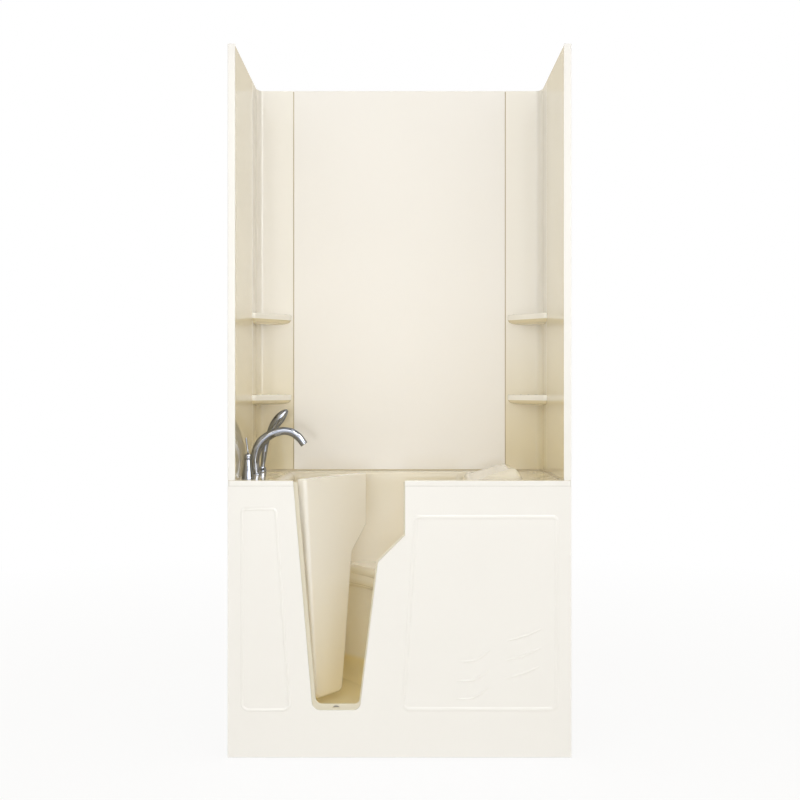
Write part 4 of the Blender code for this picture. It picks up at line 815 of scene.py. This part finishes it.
def makeGasket():
    front = bath["apronReturn"] + jamb["stopWall"] + 2 * bath["gap"]
    inset, wide, tall = seal["inset"], seal["width"], seal["height"]
    section = roundOutline([(inset, front), (inset + wide, front),
                            (inset + wide, front + tall * seal["shoulder"]),
                            (inset + wide / 2, front + tall), (inset, front + tall)], seal["rounds"], steps=4)
    return gridPiece("doorGasket", alongDoorway(section, jamb["top"]))


# painted light and shade: the stop's front faces take a darker, yellower copy of the acrylic as painted shade, and
# the pocket a paler one as painted light
place(coverFaces(makeJamb(), litPocketAcrylic, shadedJambAcrylic, (0, -1, 0)), "tub", "tub_acrylic", "door_jamb")
place(makeGasket(), "tub", "rubber", "door_seal")
# painted light: the base seal takes a paler copy of the tan sealant, which stands in for light in its shaded joint
frame["nodes"]["base_seal"].data.materials[0] = litBaseSealant
print("jamb and gasket made")

# ---- door, drawn closed and turned to its open rest place

door = {"face": 0.016, "back": 0.050, "overlap": 0.008, "bevel": 0.014, "wall": 0.004, "liner": 0.0055,
        "top": 0.966, "hinge": (-0.364, 0.056), "open": 57}


def swing(piece):
    hinge = Vector((door["hinge"][0], yAt(door["hinge"][1]), 0))
    piece.data.transform(Matrix.Translation(hinge) @ Matrix.Rotation(radians(door["open"]), 4, 'Z')
                         @ Matrix.Translation(-hinge))
    return piece


def makeDoor():
    edge, bevel, wall = door["overlap"], door["bevel"], door["wall"]
    face, top, linerFront = door["face"], door["top"], door["back"] - door["liner"]
    back = linerFront - bath["gap"]
    rings = [(edge - bevel * left, face + bevel * gone, top) for left, gone in quarterRound(arcs["large"])]
    rings += [(edge, back, top), (edge - wall, back, top - wall), (edge - wall, face + bevel, top - wall),
              (edge - bevel, face + wall, top - wall)]
    panel = swing(soften(gridPiece("doorPanel", doorwayRings(rings)), rounding["door"]))
    half = door["liner"] / 2
    rings = [(edge, linerFront, top)] + [(edge - half * gone, linerFront + half * (2 - left), top)
                                         for left, gone in quarterRound(arcs["small"])]
    return panel, swing(soften(gridPiece("doorLiner", doorwayRings(rings)), rounding["liner"]))


# painted light and shade: the door takes a copy of the acrylic that is yellower than the apron and darker and
# yellower towards its foot
for piece, node in zip(makeDoor(), ("door_panel", "door_liner")):
    place(piece, "door", "tub_acrylic", node, coat=doorLightShadeAcrylic)
print("door made")

# ---- wall surround

surround = {"thick": 0.005, "faceX": 0.571, "backLeg": 0.146, "sideLeg": 0.176, "coveWidth": 0.025,
            "coveDepth": 0.047, "coveSteps": 18, "seam": 0.003, "joint": 0.0008, "trimDepth": 0.022,
            "trimRise": 0.005, "trimRounds": (0.0015, 0.003, 0.001, 0.001, 0.001, 0.001)}
# the sealant line in the seam: its share of the seam's width, how far it sits back, and its bow
sealant = {"share": 1.02, "set": 0.0006, "bow": 0.0008, "deep": 0.004, "footGap": 0.001, "headGap": 0.002,
           "steps": 7}
shelf = {"backLeg": 0.136, "sideLeg": 0.181, "thick": 0.024, "belly": 0.016, "bellyPower": 1.7, "bellyInset": 0.5,
         "bellyStart": 0.15, "bellySteps": 7, "edge": 0.004, "bulge": 0.010, "upper": 1.577, "lower": 1.258,
         "bow": ((0, 0), (0.03, 0.55), (0.10, 0.85), (0.28, 1.0), (0.5, 1.08), (0.72, 1.0), (0.90, 0.85),
                 (0.97, 0.55), (1, 0))}
rib = {"count": 4, "width": 0.009, "height": 0.0022, "sunk": 0.0004, "fromSide": 0.030, "fromBack": 0.022,
       "margin": 0.050, "least": 0.012, "tip": 0.06, "power": 0.4, "steps": 9, "sides": 7}
faceX, faceDepth = surround["faceX"], bath["depth"] - surround["thick"]


def cornerLine(side, out):
    # plan line of a corner panel: side leg, elliptical cove, back leg
    angle = np.linspace(0, pi / 2, surround["coveSteps"] + 1)
    cove = np.stack([faceX - surround["coveWidth"] + (surround["coveWidth"] + out) * np.cos(angle),
                     faceDepth - surround["coveDepth"] + (surround["coveDepth"] + out) * np.sin(angle)], -1)
    line = np.vstack([[(faceX + out, faceDepth - surround["sideLeg"])], cove,
                      [(faceX - surround["backLeg"] + surround["seam"] / 2, faceDepth + out)]])
    return line * np.array([side, 1])


def uprightPiece(name, plan, foot, top):
    # a plan carried up from its foot, which may follow the deck's fall
    return gridPiece(name, np.stack([lying(plan, foot), lying(plan, top)]))


def standingPanel(name, face, back):
    plan = np.vstack([face, back[::-1]])
    piece = uprightPiece(name, plan, deckAt(plan[:, 1]) + bath["gap"], bath["panelTop"])
    return soften(piece, rounding["sheet"], segments=2)


def shelfLine(side, inset, reach):
    # plan of a shelf: side wall, cove, back wall and a front edge that bows out
    cornerX, cornerDepth = faceX - bath["gap"], faceDepth - bath["gap"]
    sideLeg, backLeg = shelf["sideLeg"] * reach - inset, shelf["backLeg"] * reach - inset
    cove = np.array([(cornerX - surround["coveWidth"] * gone, cornerDepth - surround["coveDepth"] * left)
                     for left, gone in quarterRound(arcs["large"])])
    start, end = np.array([cornerX - backLeg, cornerDepth]), np.array([cornerX, cornerDepth - sideLeg])
    out = np.array([-(end - start)[1], (end - start)[0]])
    out /= np.linalg.norm(out)
    out = -out if out[0] > 0 else out
    bow = smoothLine(shelf["bow"], steps=5)[1:-1]
    front = start + (end - start) * bow[:, :1] + out * shelf["bulge"] * np.clip(bow[:, 1:], 0, None)
    return np.vstack([[end], cove, [start], front]) * np.array([side, 1])


def makeShelf(name, side, top):
    edge, thick = shelf["edge"], shelf["thick"]
    levels = [(edge * left, 1, top - edge * gone) for left, gone in quarterRound(arcs["small"])]
    levels += [(edge * gone, 1, top - thick + edge * left) for left, gone in quarterRound(arcs["small"])]
    levels += [(edge, 1 - shelf["bellyInset"] * t ** 2,
                top - thick - shelf["belly"] * (1 - (1 - t) ** shelf["bellyPower"]))
               for t in np.linspace(shelf["bellyStart"], 1, shelf["bellySteps"])]
    rings = [lying(shelfLine(side, inset, reach), height) for inset, reach, height in levels]
    parts = [gridPiece(name, np.stack(rings))]
    # low ribs on the top, from near the corner towards the front edge
    swell = np.sin(pi * np.linspace(rib["tip"], 1 - rib["tip"], rib["steps"]))[:, None] ** rib["power"]
    arch = np.linspace(0, pi, rib["sides"])[None, :]
    for index in range(rib["count"]):
        across = faceX - rib["fromSide"] - (shelf["backLeg"] - rib["margin"]) * index / (rib["count"] - 1)
        run = (shelf["sideLeg"] - rib["margin"]) * (1 - (faceX - across) / shelf["backLeg"]) + rib["least"]
        along = faceDepth - rib["fromBack"] - run * np.linspace(0, 1, rib["steps"])
        x = (across + rib["width"] / 2 * swell * np.cos(arch)) * side
        z = top - rib["sunk"] + rib["height"] * swell * np.sin(arch)
        parts.append(gridPiece("rib", np.stack([x, yAt(along)[:, None] + 0 * arch, z], -1)))
    # painted light and shade: the top and front edge take a paler copy of the acrylic, the underside a darker,
    # yellower one
    return coverFaces(join(name, parts), litShelfAcrylic, shadedShelfUnderside, (0, 0, -1))


def makeTrim(name, flip):
    # upright edge strip, an L in plan
    thick, deep, half = surround["thick"], surround["trimDepth"], bath["halfWidth"]
    plan = roundOutline([(faceX, 0), (half, 0), (half, deep), (half - thick, deep), (half - thick, thick),
                         (faceX, thick)], surround["trimRounds"], steps=5) * flip
    piece = uprightPiece(name, plan, bath["rim"] + bath["gap"], bath["panelTop"] + surround["trimRise"])
    return soften(piece, rounding["sheet"], segments=2)


def makeSeamBead(name, side):
    # sealant pressed into the seam between the back panel and the corner panel
    seamX = (faceX - surround["backLeg"]) * side
    half, deep = surround["seam"] / 2 * sealant["share"], faceDepth + sealant["deep"]
    bow = np.linspace(-1, 1, sealant["steps"])
    plan = np.stack([seamX + bow * half, faceDepth + sealant["set"] + sealant["bow"] * (1 - bow ** 2)], -1)
    plan = np.vstack([plan, [(seamX + half, deep), (seamX - half, deep)]])
    return uprightPiece(name, plan, deckAt(faceDepth) + sealant["footGap"], bath["panelTop"] - sealant["headGap"])


def flatPanel(name, ends, thickness, flip=1):
    # a straight panel between two points of its face in plan, with its thickness added to them
    return standingPanel(name, np.array(ends) * flip, (np.array(ends) + np.array(thickness)) * flip)


def placeSheet(piece, front, away, node):
    place(coverFaces(piece, front, sheetBack, away), "tub", "surround_acrylic", node)


for label, side in (("left", -1), ("right", 1)):
    flip, thick = np.array([side, 1]), surround["thick"]
    sideEnds = ((faceX, thick + bath["gap"]), (faceX, faceDepth - surround["sideLeg"] - surround["joint"]))
    # painted shade: the side panels take a darker, yellower copy of the acrylic, the corner panels one that turns
    # darker and yellower towards the deck; painted light: the trims take the lit copy of the apron
    placeSheet(flatPanel(label + "Side", sideEnds, (thick, 0), flip), shadedSideAcrylic, (side, 0, 0),
               label + "_side_panel")
    placeSheet(standingPanel(label + "Corner", cornerLine(side, 0), cornerLine(side, thick)), shadedCornerAcrylic,
               (side, 1, 0), label + "_corner_panel")
    place(makeTrim(label + "Trim", flip), "tub", "surround_acrylic", label + "_front_trim", coat=litFaceAcrylic)
    for level in ("upper", "lower"):
        place(makeShelf(label + level.capitalize() + "Shelf", side, shelf[level]),
              "tub", "surround_acrylic", f"{label}_{level}_shelf")
    place(makeSeamBead(label + "SeamBead", side), "tub", "sealant")

backHalf = faceX - surround["backLeg"] - surround["seam"] / 2
backEnds = ((-backHalf, faceDepth), (backHalf, faceDepth))
placeSheet(flatPanel("backPanel", backEnds, (0, surround["thick"])), finishes["surround_acrylic"], (0, 1, 0),
           "back_panel")
print("surround made")

# ---- filler set

valve = {"base": 0.0215, "neck": 0.0125, "tall": 0.070, "head": 0.020, "lever": 0.003, "leverLength": 0.052,
         "lean": -8, "baseRim": ((0.97, 0), (1, 0.0086), (1, 0.05), (0.985, 0.065)),
         "belly": ((0.95, 0.075), (0.88, 0.30)), "waist": ((1.28, 0.55), (1.10, 0.75), (1.0, 0.97)),
         "neckTop": ((0.95, 1),), "capTop": ((0.30, 1),), "capRim": ((0.90, 0), (1.02, 0.04), (1.05, 0.10)),
         "cap": ((1.06, 0.15), (1.04, 0.45), (0.84, 0.78), (0.42, 0.975)), "ball": 1.1, "knuckle": (-75, 20, 9),
         "grip": ((0.85, 0.15), (0.85, 0.45), (1.1, 0.85), (1.12, 0.93), (0.85, 0.985), (0.3, 1))}


def scaled(table, wide, tall, foot):
    # a profile from shares of a radius and of a height above its foot
    return [(wide * across, foot + tall * up) for across, up in table]


def smoothed(table, steps):
    return smoothLine(table, steps).tolist()


def placeChrome(pieces, bodies, nodes):
    for piece, body, node in zip(pieces, bodies, nodes):
        place(piece, body, "chrome", node)


def makeValve():
    foot = deckAt(fillers["valve"]) + 2 * bath["gap"]
    base, neck, tall, head = valve["base"], valve["neck"], valve["tall"], valve["head"]
    stand = turning(fillerX, fillers["valve"], 0)
    profile = scaled(valve["baseRim"], base, tall, foot)
    flank = scaled(valve["belly"], base, tall, foot) + scaled(valve["waist"], neck, tall, foot)
    profile += smoothed(flank, 6) + scaled(valve["neckTop"], neck, tall, foot)
    body = turnedPiece("valveBody", profile, stand)
    rise = foot + tall + bath["gap"]
    profile = scaled(valve["capRim"], neck, head, rise) + smoothed(scaled(valve["cap"], neck, head, rise), 5)
    cap = turnedPiece("valveCap", profile + scaled(valve["capTop"], neck, head, rise), stand)
    thin, ball = valve["lever"], valve["lever"] * valve["ball"]
    stand = turning(fillerX, fillers["valve"], rise + head + bath["gap"] + ball, lean=radians(valve["lean"]))
    profile = [(ball * cos(angle), ball * sin(angle)) for angle in np.radians(np.linspace(*valve["knuckle"]))]
    profile += smoothed(scaled(valve["grip"], thin, valve["leverLength"], 0), 4)
    return body, cap, turnedPiece("valveLever", profile, stand, sides=24)


placeChrome(makeValve(), ("tub", "valve_cap", "lever"), ("valve_body", "valve_head", "valve_lever"))


def armGrid(values, foot, depth, steps=8, sides=36):
    # a section that is round or oval, carried along a smooth line in one upright plane: its stations are shares
    # of the reach and the rise from the foot, of the half width and of the half depth
    shares = zip(values["across"], values["up"], values["widths"], values["depths"])
    line = smoothLine([(foot[0] + values["reach"] * across, foot[1] + values["rise"] * up,
                        values["width"] * wide, values["thick"] * deep)
                       for across, up, wide, deep in shares], steps)
    ahead = np.gradient(line[:, :2], axis=0)
    angle = np.arctan2(ahead[:, 1], ahead[:, 0])[:, None]
    turn = np.arange(sides) * 2 * pi / sides
    across, deep = np.cos(turn)[None], np.sin(turn)[None]
    return np.stack([line[:, :1] - np.sin(angle) * across * line[:, 2:3], yAt(depth) + deep * line[:, 3:4],
                     line[:, 1:2] + np.cos(angle) * across * line[:, 2:3]], -1)


spoutWidths = (0.75, 0.89, 1, 1, 0.933, 0.861, 0.806, 0.822, 0.822, 0.778)
spout = {"reach": 0.179, "rise": 0.164, "width": 0.018, "thick": 0.018, "flange": 0.019, "flangeTall": 0.005,
         "across": (0, -0.03, 0.01, 0.10, 0.24, 0.40, 0.58, 0.75, 0.89, 1.0),
         "up": (0.01, 0.30, 0.56, 0.745, 0.88, 0.965, 1.0, 0.967, 0.857, 0.70),
         "widths": spoutWidths, "depths": spoutWidths,
         "mouth": ((0.985, 0.0012), (0.93, 0.002), (0.85, 0.0017), (0.80, 0.0), (0.79, -0.006)),
         "ring": ((0.96, 0), (1, 0.2), (1, 0.45), (0.96, 0.7), (0.86, 0.95), (0.75, 1))}


def makeSpout():
    level = deckAt(fillers["spout"]) + 2 * bath["gap"]
    grid = armGrid(spout, (fillerX, level), fillers["spout"])
    # the mouth turns in: a rolled lip, then a recess with the water outlet
    last, middle = grid[-1], grid[-1].mean(0)
    ahead = (grid[-1] - grid[-2]).mean(0)
    ahead /= np.linalg.norm(ahead)
    lip = [middle + (last - middle) * share + ahead * move for share, move in spout["mouth"]]
    arm = gridPiece("arm", np.concatenate([grid, np.stack(lip)]))
    ring = turnedPiece("ring", scaled(spout["ring"], spout["flange"], spout["flangeTall"], level),
                       turning(fillerX, fillers["spout"], 0))
    return join("fillerSpout", [arm, ring])


placeChrome([makeSpout()], ["tub"], ["filler_spout"])

shower = {"rise": 0.235, "reach": 0.100, "lean": 6.6, "width": 0.0195, "thick": 0.0285, "cradle": 0.0175,
          "cradleTall": 0.020, "bore": 0.0095, "cradleFloor": 0.006,
          "across": (0, 0.035, 0.09, 0.16, 0.30, 0.50, 0.72, 0.90, 1.0),
          "up": (0, 0.10, 0.28, 0.46, 0.62, 0.76, 0.88, 0.965, 1.0),
          "widths": (0.41, 0.42, 0.54, 0.564, 0.641, 0.949, 1, 0.641, 0.256),
          "depths": (0.281, 0.288, 0.386, 0.404, 0.526, 0.842, 1, 0.702, 0.281),
          "ring": ((0.97, 0), (1, 0.05), (1, 0.28), (0.97, 0.36), (0.86, 0.86), (0.80, 1))}


def makeShower():
    level = deckAt(fillers["shower"]) + 2 * bath["gap"]
    lean, seat = radians(shower["lean"]), level + shower["cradleFloor"]
    foot = (fillerX + sin(lean) * bath["gap"], seat + cos(lean) * bath["gap"])
    head = gridPiece("handShower", armGrid(shower, foot, fillers["shower"]))
    cradle = turnedPiece("showerCradle", scaled(shower["ring"], shower["cradle"], shower["cradleTall"], level),
                         turning(fillerX, fillers["shower"], 0))
    ends = [(shower["bore"], 0), (shower["bore"], shower["cradleTall"] + cutting["over"])]
    carve(cradle, turnedPiece("bore", ends, turning(fillerX, fillers["shower"], seat, lean=lean), sides=32))
    shade(cradle)
    return head, cradle


placeChrome(makeShower(), ("shower", "tub"), ("hand_shower", "shower_cradle"))
print("filler set made")

# ---- waste and overflow


def makeWaste():
    top, wall, bore, tube = bath["floor"] + bath["gap"], drain["wall"], drain["bore"], drain["tube"]
    foot = bath["floor"] - drain["length"]
    stand = turning(drain["x"], drain["depth"], 0)
    profile = scaled(drain["rim"], drain["flange"], wall, top) + scaled(drain["throat"], bore, wall, top)
    ring = turnedPiece("drainFlange", profile + [(bore, foot), (tube, foot), (tube, top)], stand, looped=True)
    seat, stem = top + wall + bath["gap"], drain["stem"]
    profile = [(stem, seat - drain["stemLength"]), (stem, seat)]
    profile += scaled(drain["dome"], drain["stopper"], drain["cap"], seat)
    return ring, turnedPiece("drainStopper", profile, stand)


def makeOverflow():
    stand = turning(bath["basinLeft"], drain["depth"], overflow["height"], 'X')
    wide, wall, hub = overflow["plate"], overflow["wall"], overflow["bore"] / 2
    profile = [(hub, bath["gap"]), (wide, bath["gap"])] + scaled(overflow["plateRim"], wide, wall, 0)
    plate = turnedPiece("overflowPlate", profile + [(hub, wall)], stand, looped=True)
    angle = np.arange(overflow["sides"]) * 2 * pi / overflow["sides"]
    flute = 1 - overflow["fluteDepth"] * np.clip(np.cos(overflow["flutes"] * angle), 0, 1) ** 2
    profile = scaled(overflow["grip"], overflow["knob"], overflow["tall"], wall + bath["gap"])
    return plate, turnedPiece("overflowKnob", profile, stand, overflow["sides"], flute=flute)


placeChrome(makeWaste() + makeOverflow(), ("tub", "stopper", "tub", "knob"),
            ("drain_body", "drain_stopper", "overflow_plate", "overflow_knob"))
print("waste and overflow made")

# ---- camera, lights, floor and background

# the shift is in shares of a picture 800 pixels wide
view = {"place": (0, -4.6815, 1.295), "lens": 56.25, "sensor": 36, "shift": (0.5 / 800, -14.5 / 800)}
lens = bpy.data.cameras.new("camera")
lens.lens, lens.sensor_width = view["lens"], view["sensor"]
lens.shift_x, lens.shift_y = view["shift"]
camera = bpy.data.objects.new("camera", lens)
camera.location = view["place"]
camera.rotation_euler = (radians(90), 0, 0)
bpy.context.scene.collection.objects.link(camera)
bpy.context.scene.camera = camera

# place, aim, size and watts of each lamp
cool = (0.915, 0.955, 1.0)
lamps = {"keyLamp": ((-1.9, -4.2, 3.4), (0, 0, 1.1), 3.0, 33),
         "fillLamp": ((2.2, -3.8, 2.4), (0, 0, 1.0), 3.0, 27),
         "frontLamp": ((-0.55, -5.2, 1.05), (0, 0, 0.9), 1.6, 39)}
for name, (spot, aim, size, power) in lamps.items():
    lamp = bpy.data.lights.new(name, 'AREA')
    lamp.shape, lamp.size, lamp.energy, lamp.color = 'SQUARE', size, power, cool
    holder = bpy.data.objects.new(name, lamp)
    holder.location = spot
    holder.rotation_euler = (Vector(aim) - Vector(spot)).to_track_quat('-Z', 'Y').to_euler()
    holder.visible_glossy = False
    bpy.context.scene.collection.objects.link(holder)

room = {
    "glow": (1.0, 0.948, 0.84), "glowStrength": 0.70, "behind": (0.118, 0.108, 0.088), "mirrorStrength": 7.0,
    "behindFrom": -0.1, "behindTo": 0.3,
    "strips": ((0.00, 0.01), (0.12, 0.10), (0.20, 0.90), (0.25, 0.01), (0.38, 0.01), (0.43, 0.36), (0.57, 0.36),
               (0.585, 0.02), (0.60, 0.02), (0.62, 1.00), (0.71, 1.00), (0.73, 0.03), (0.77, 0.03), (0.79, 1.00),
               (0.90, 0.80), (0.93, 0.02), (1.00, 0.01)),
    "tiers": ((0.00, 0.42), (0.48, 0.42), (0.54, 1.00), (0.62, 1.00), (0.66, 0.04), (0.72, 0.04), (0.76, 1.90),
              (0.84, 1.90), (0.88, 0.06), (1.00, 0.30)),
    "left": -9, "right": 9, "front": -7, "back": 11, "floorLevel": -0.0005, "floorColour": (0.86, 0.85, 0.82),
    "floorRough": 0.9, "floorNear": 0.90, "floorFrom": 1.5, "floorTo": 5.0,
}


def mirrored(tree):
    # what mirrors see: pale and dark strips and tiers in front, a tan room behind
    place = tree.nodes.new('ShaderNodeTexCoord').outputs["Generated"]
    axes = newNode(tree, 'ShaderNodeSeparateXYZ', {}, {"Vector": place}).outputs

    def bands(axis, table):
        ramp = newNode(tree, 'ShaderNodeValToRGB', {}, {"Fac": spread(tree, axes[axis], -1, 1, 0, 1)})
        stops = ramp.color_ramp.elements
        for spot, level in table[1:-1]:
            stops.new(spot)
        for stop, (spot, level) in zip(stops, table):
            stop.position, stop.color = spot, (level, level, level, 1)
        return ramp.outputs["Color"]

    share = spread(tree, axes["Y"], room["behindFrom"], room["behindTo"], 0, 1)
    ahead = mathNode(tree, 'MULTIPLY', bands("X", room["strips"]), bands("Z", room["tiers"]))
    return mixNode(tree, share, ahead, (*room["behind"], 1))


def glowing(tree, colour, strength):
    return newNode(tree, 'ShaderNodeBackground', {}, {"Color": colour, "Strength": strength}).outputs["Background"]


def blended(tree, share, first, second):
    return newNode(tree, 'ShaderNodeMixShader', {}, {"Fac": share, 1: first, 2: second}).outputs["Shader"]


world = bpy.data.worlds.new("studio")
bpy.context.scene.world = world
world.use_nodes = True
tree = world.node_tree
path = tree.nodes.new('ShaderNodeLightPath').outputs
seen = mathNode(tree, 'MAXIMUM', path["Is Camera Ray"], path["Is Transmission Ray"])
sky = blended(tree, path["Is Glossy Ray"], glowing(tree, (*room["glow"], 1), room["glowStrength"]),
              glowing(tree, mirrored(tree), room["mirrorStrength"]))
feed(tree, tree.nodes["World Output"].inputs["Surface"], blended(tree, seen, sky, glowing(tree, white, 1.0)))

# the floor fades into the white background away from the tub
corners = (("left", "front"), ("right", "front"), ("right", "back"), ("left", "back"))
floor = putMesh("floor", [(room[x], room[y], room["floorLevel"]) for x, y in corners], [[0, 1, 2, 3]])
paper, tree, sockets = newMaterial("paleFloor")
feed(tree, sockets["Base Color"], (*room["floorColour"], 1))
feed(tree, sockets["Roughness"], room["floorRough"])
spot = tree.nodes.new('ShaderNodeTexCoord').outputs["Object"]
away = newNode(tree, 'ShaderNodeVectorMath', {"operation": 'LENGTH'}, {0: spot}).outputs["Value"]
fade = spread(tree, away, room["floorFrom"], room["floorTo"], room["floorNear"], 1.0)
path = tree.nodes.new('ShaderNodeLightPath').outputs
seen = mathNode(tree, 'MAXIMUM', path["Is Camera Ray"], path["Is Glossy Ray"])
glow = newNode(tree, 'ShaderNodeEmission', {}, {"Color": white, "Strength": 1.0}).outputs["Emission"]
feed(tree, tree.nodes["Material Output"].inputs["Surface"],
     blended(tree, mathNode(tree, 'MULTIPLY', seen, fade), tree.nodes["Principled BSDF"].outputs["BSDF"], glow))
floor.data.materials.append(paper)

bpy.context.scene.view_settings.view_transform = 'Standard'
bpy.context.scene.cycles.diffuse_bounces = 12
print("lights, camera and background set")
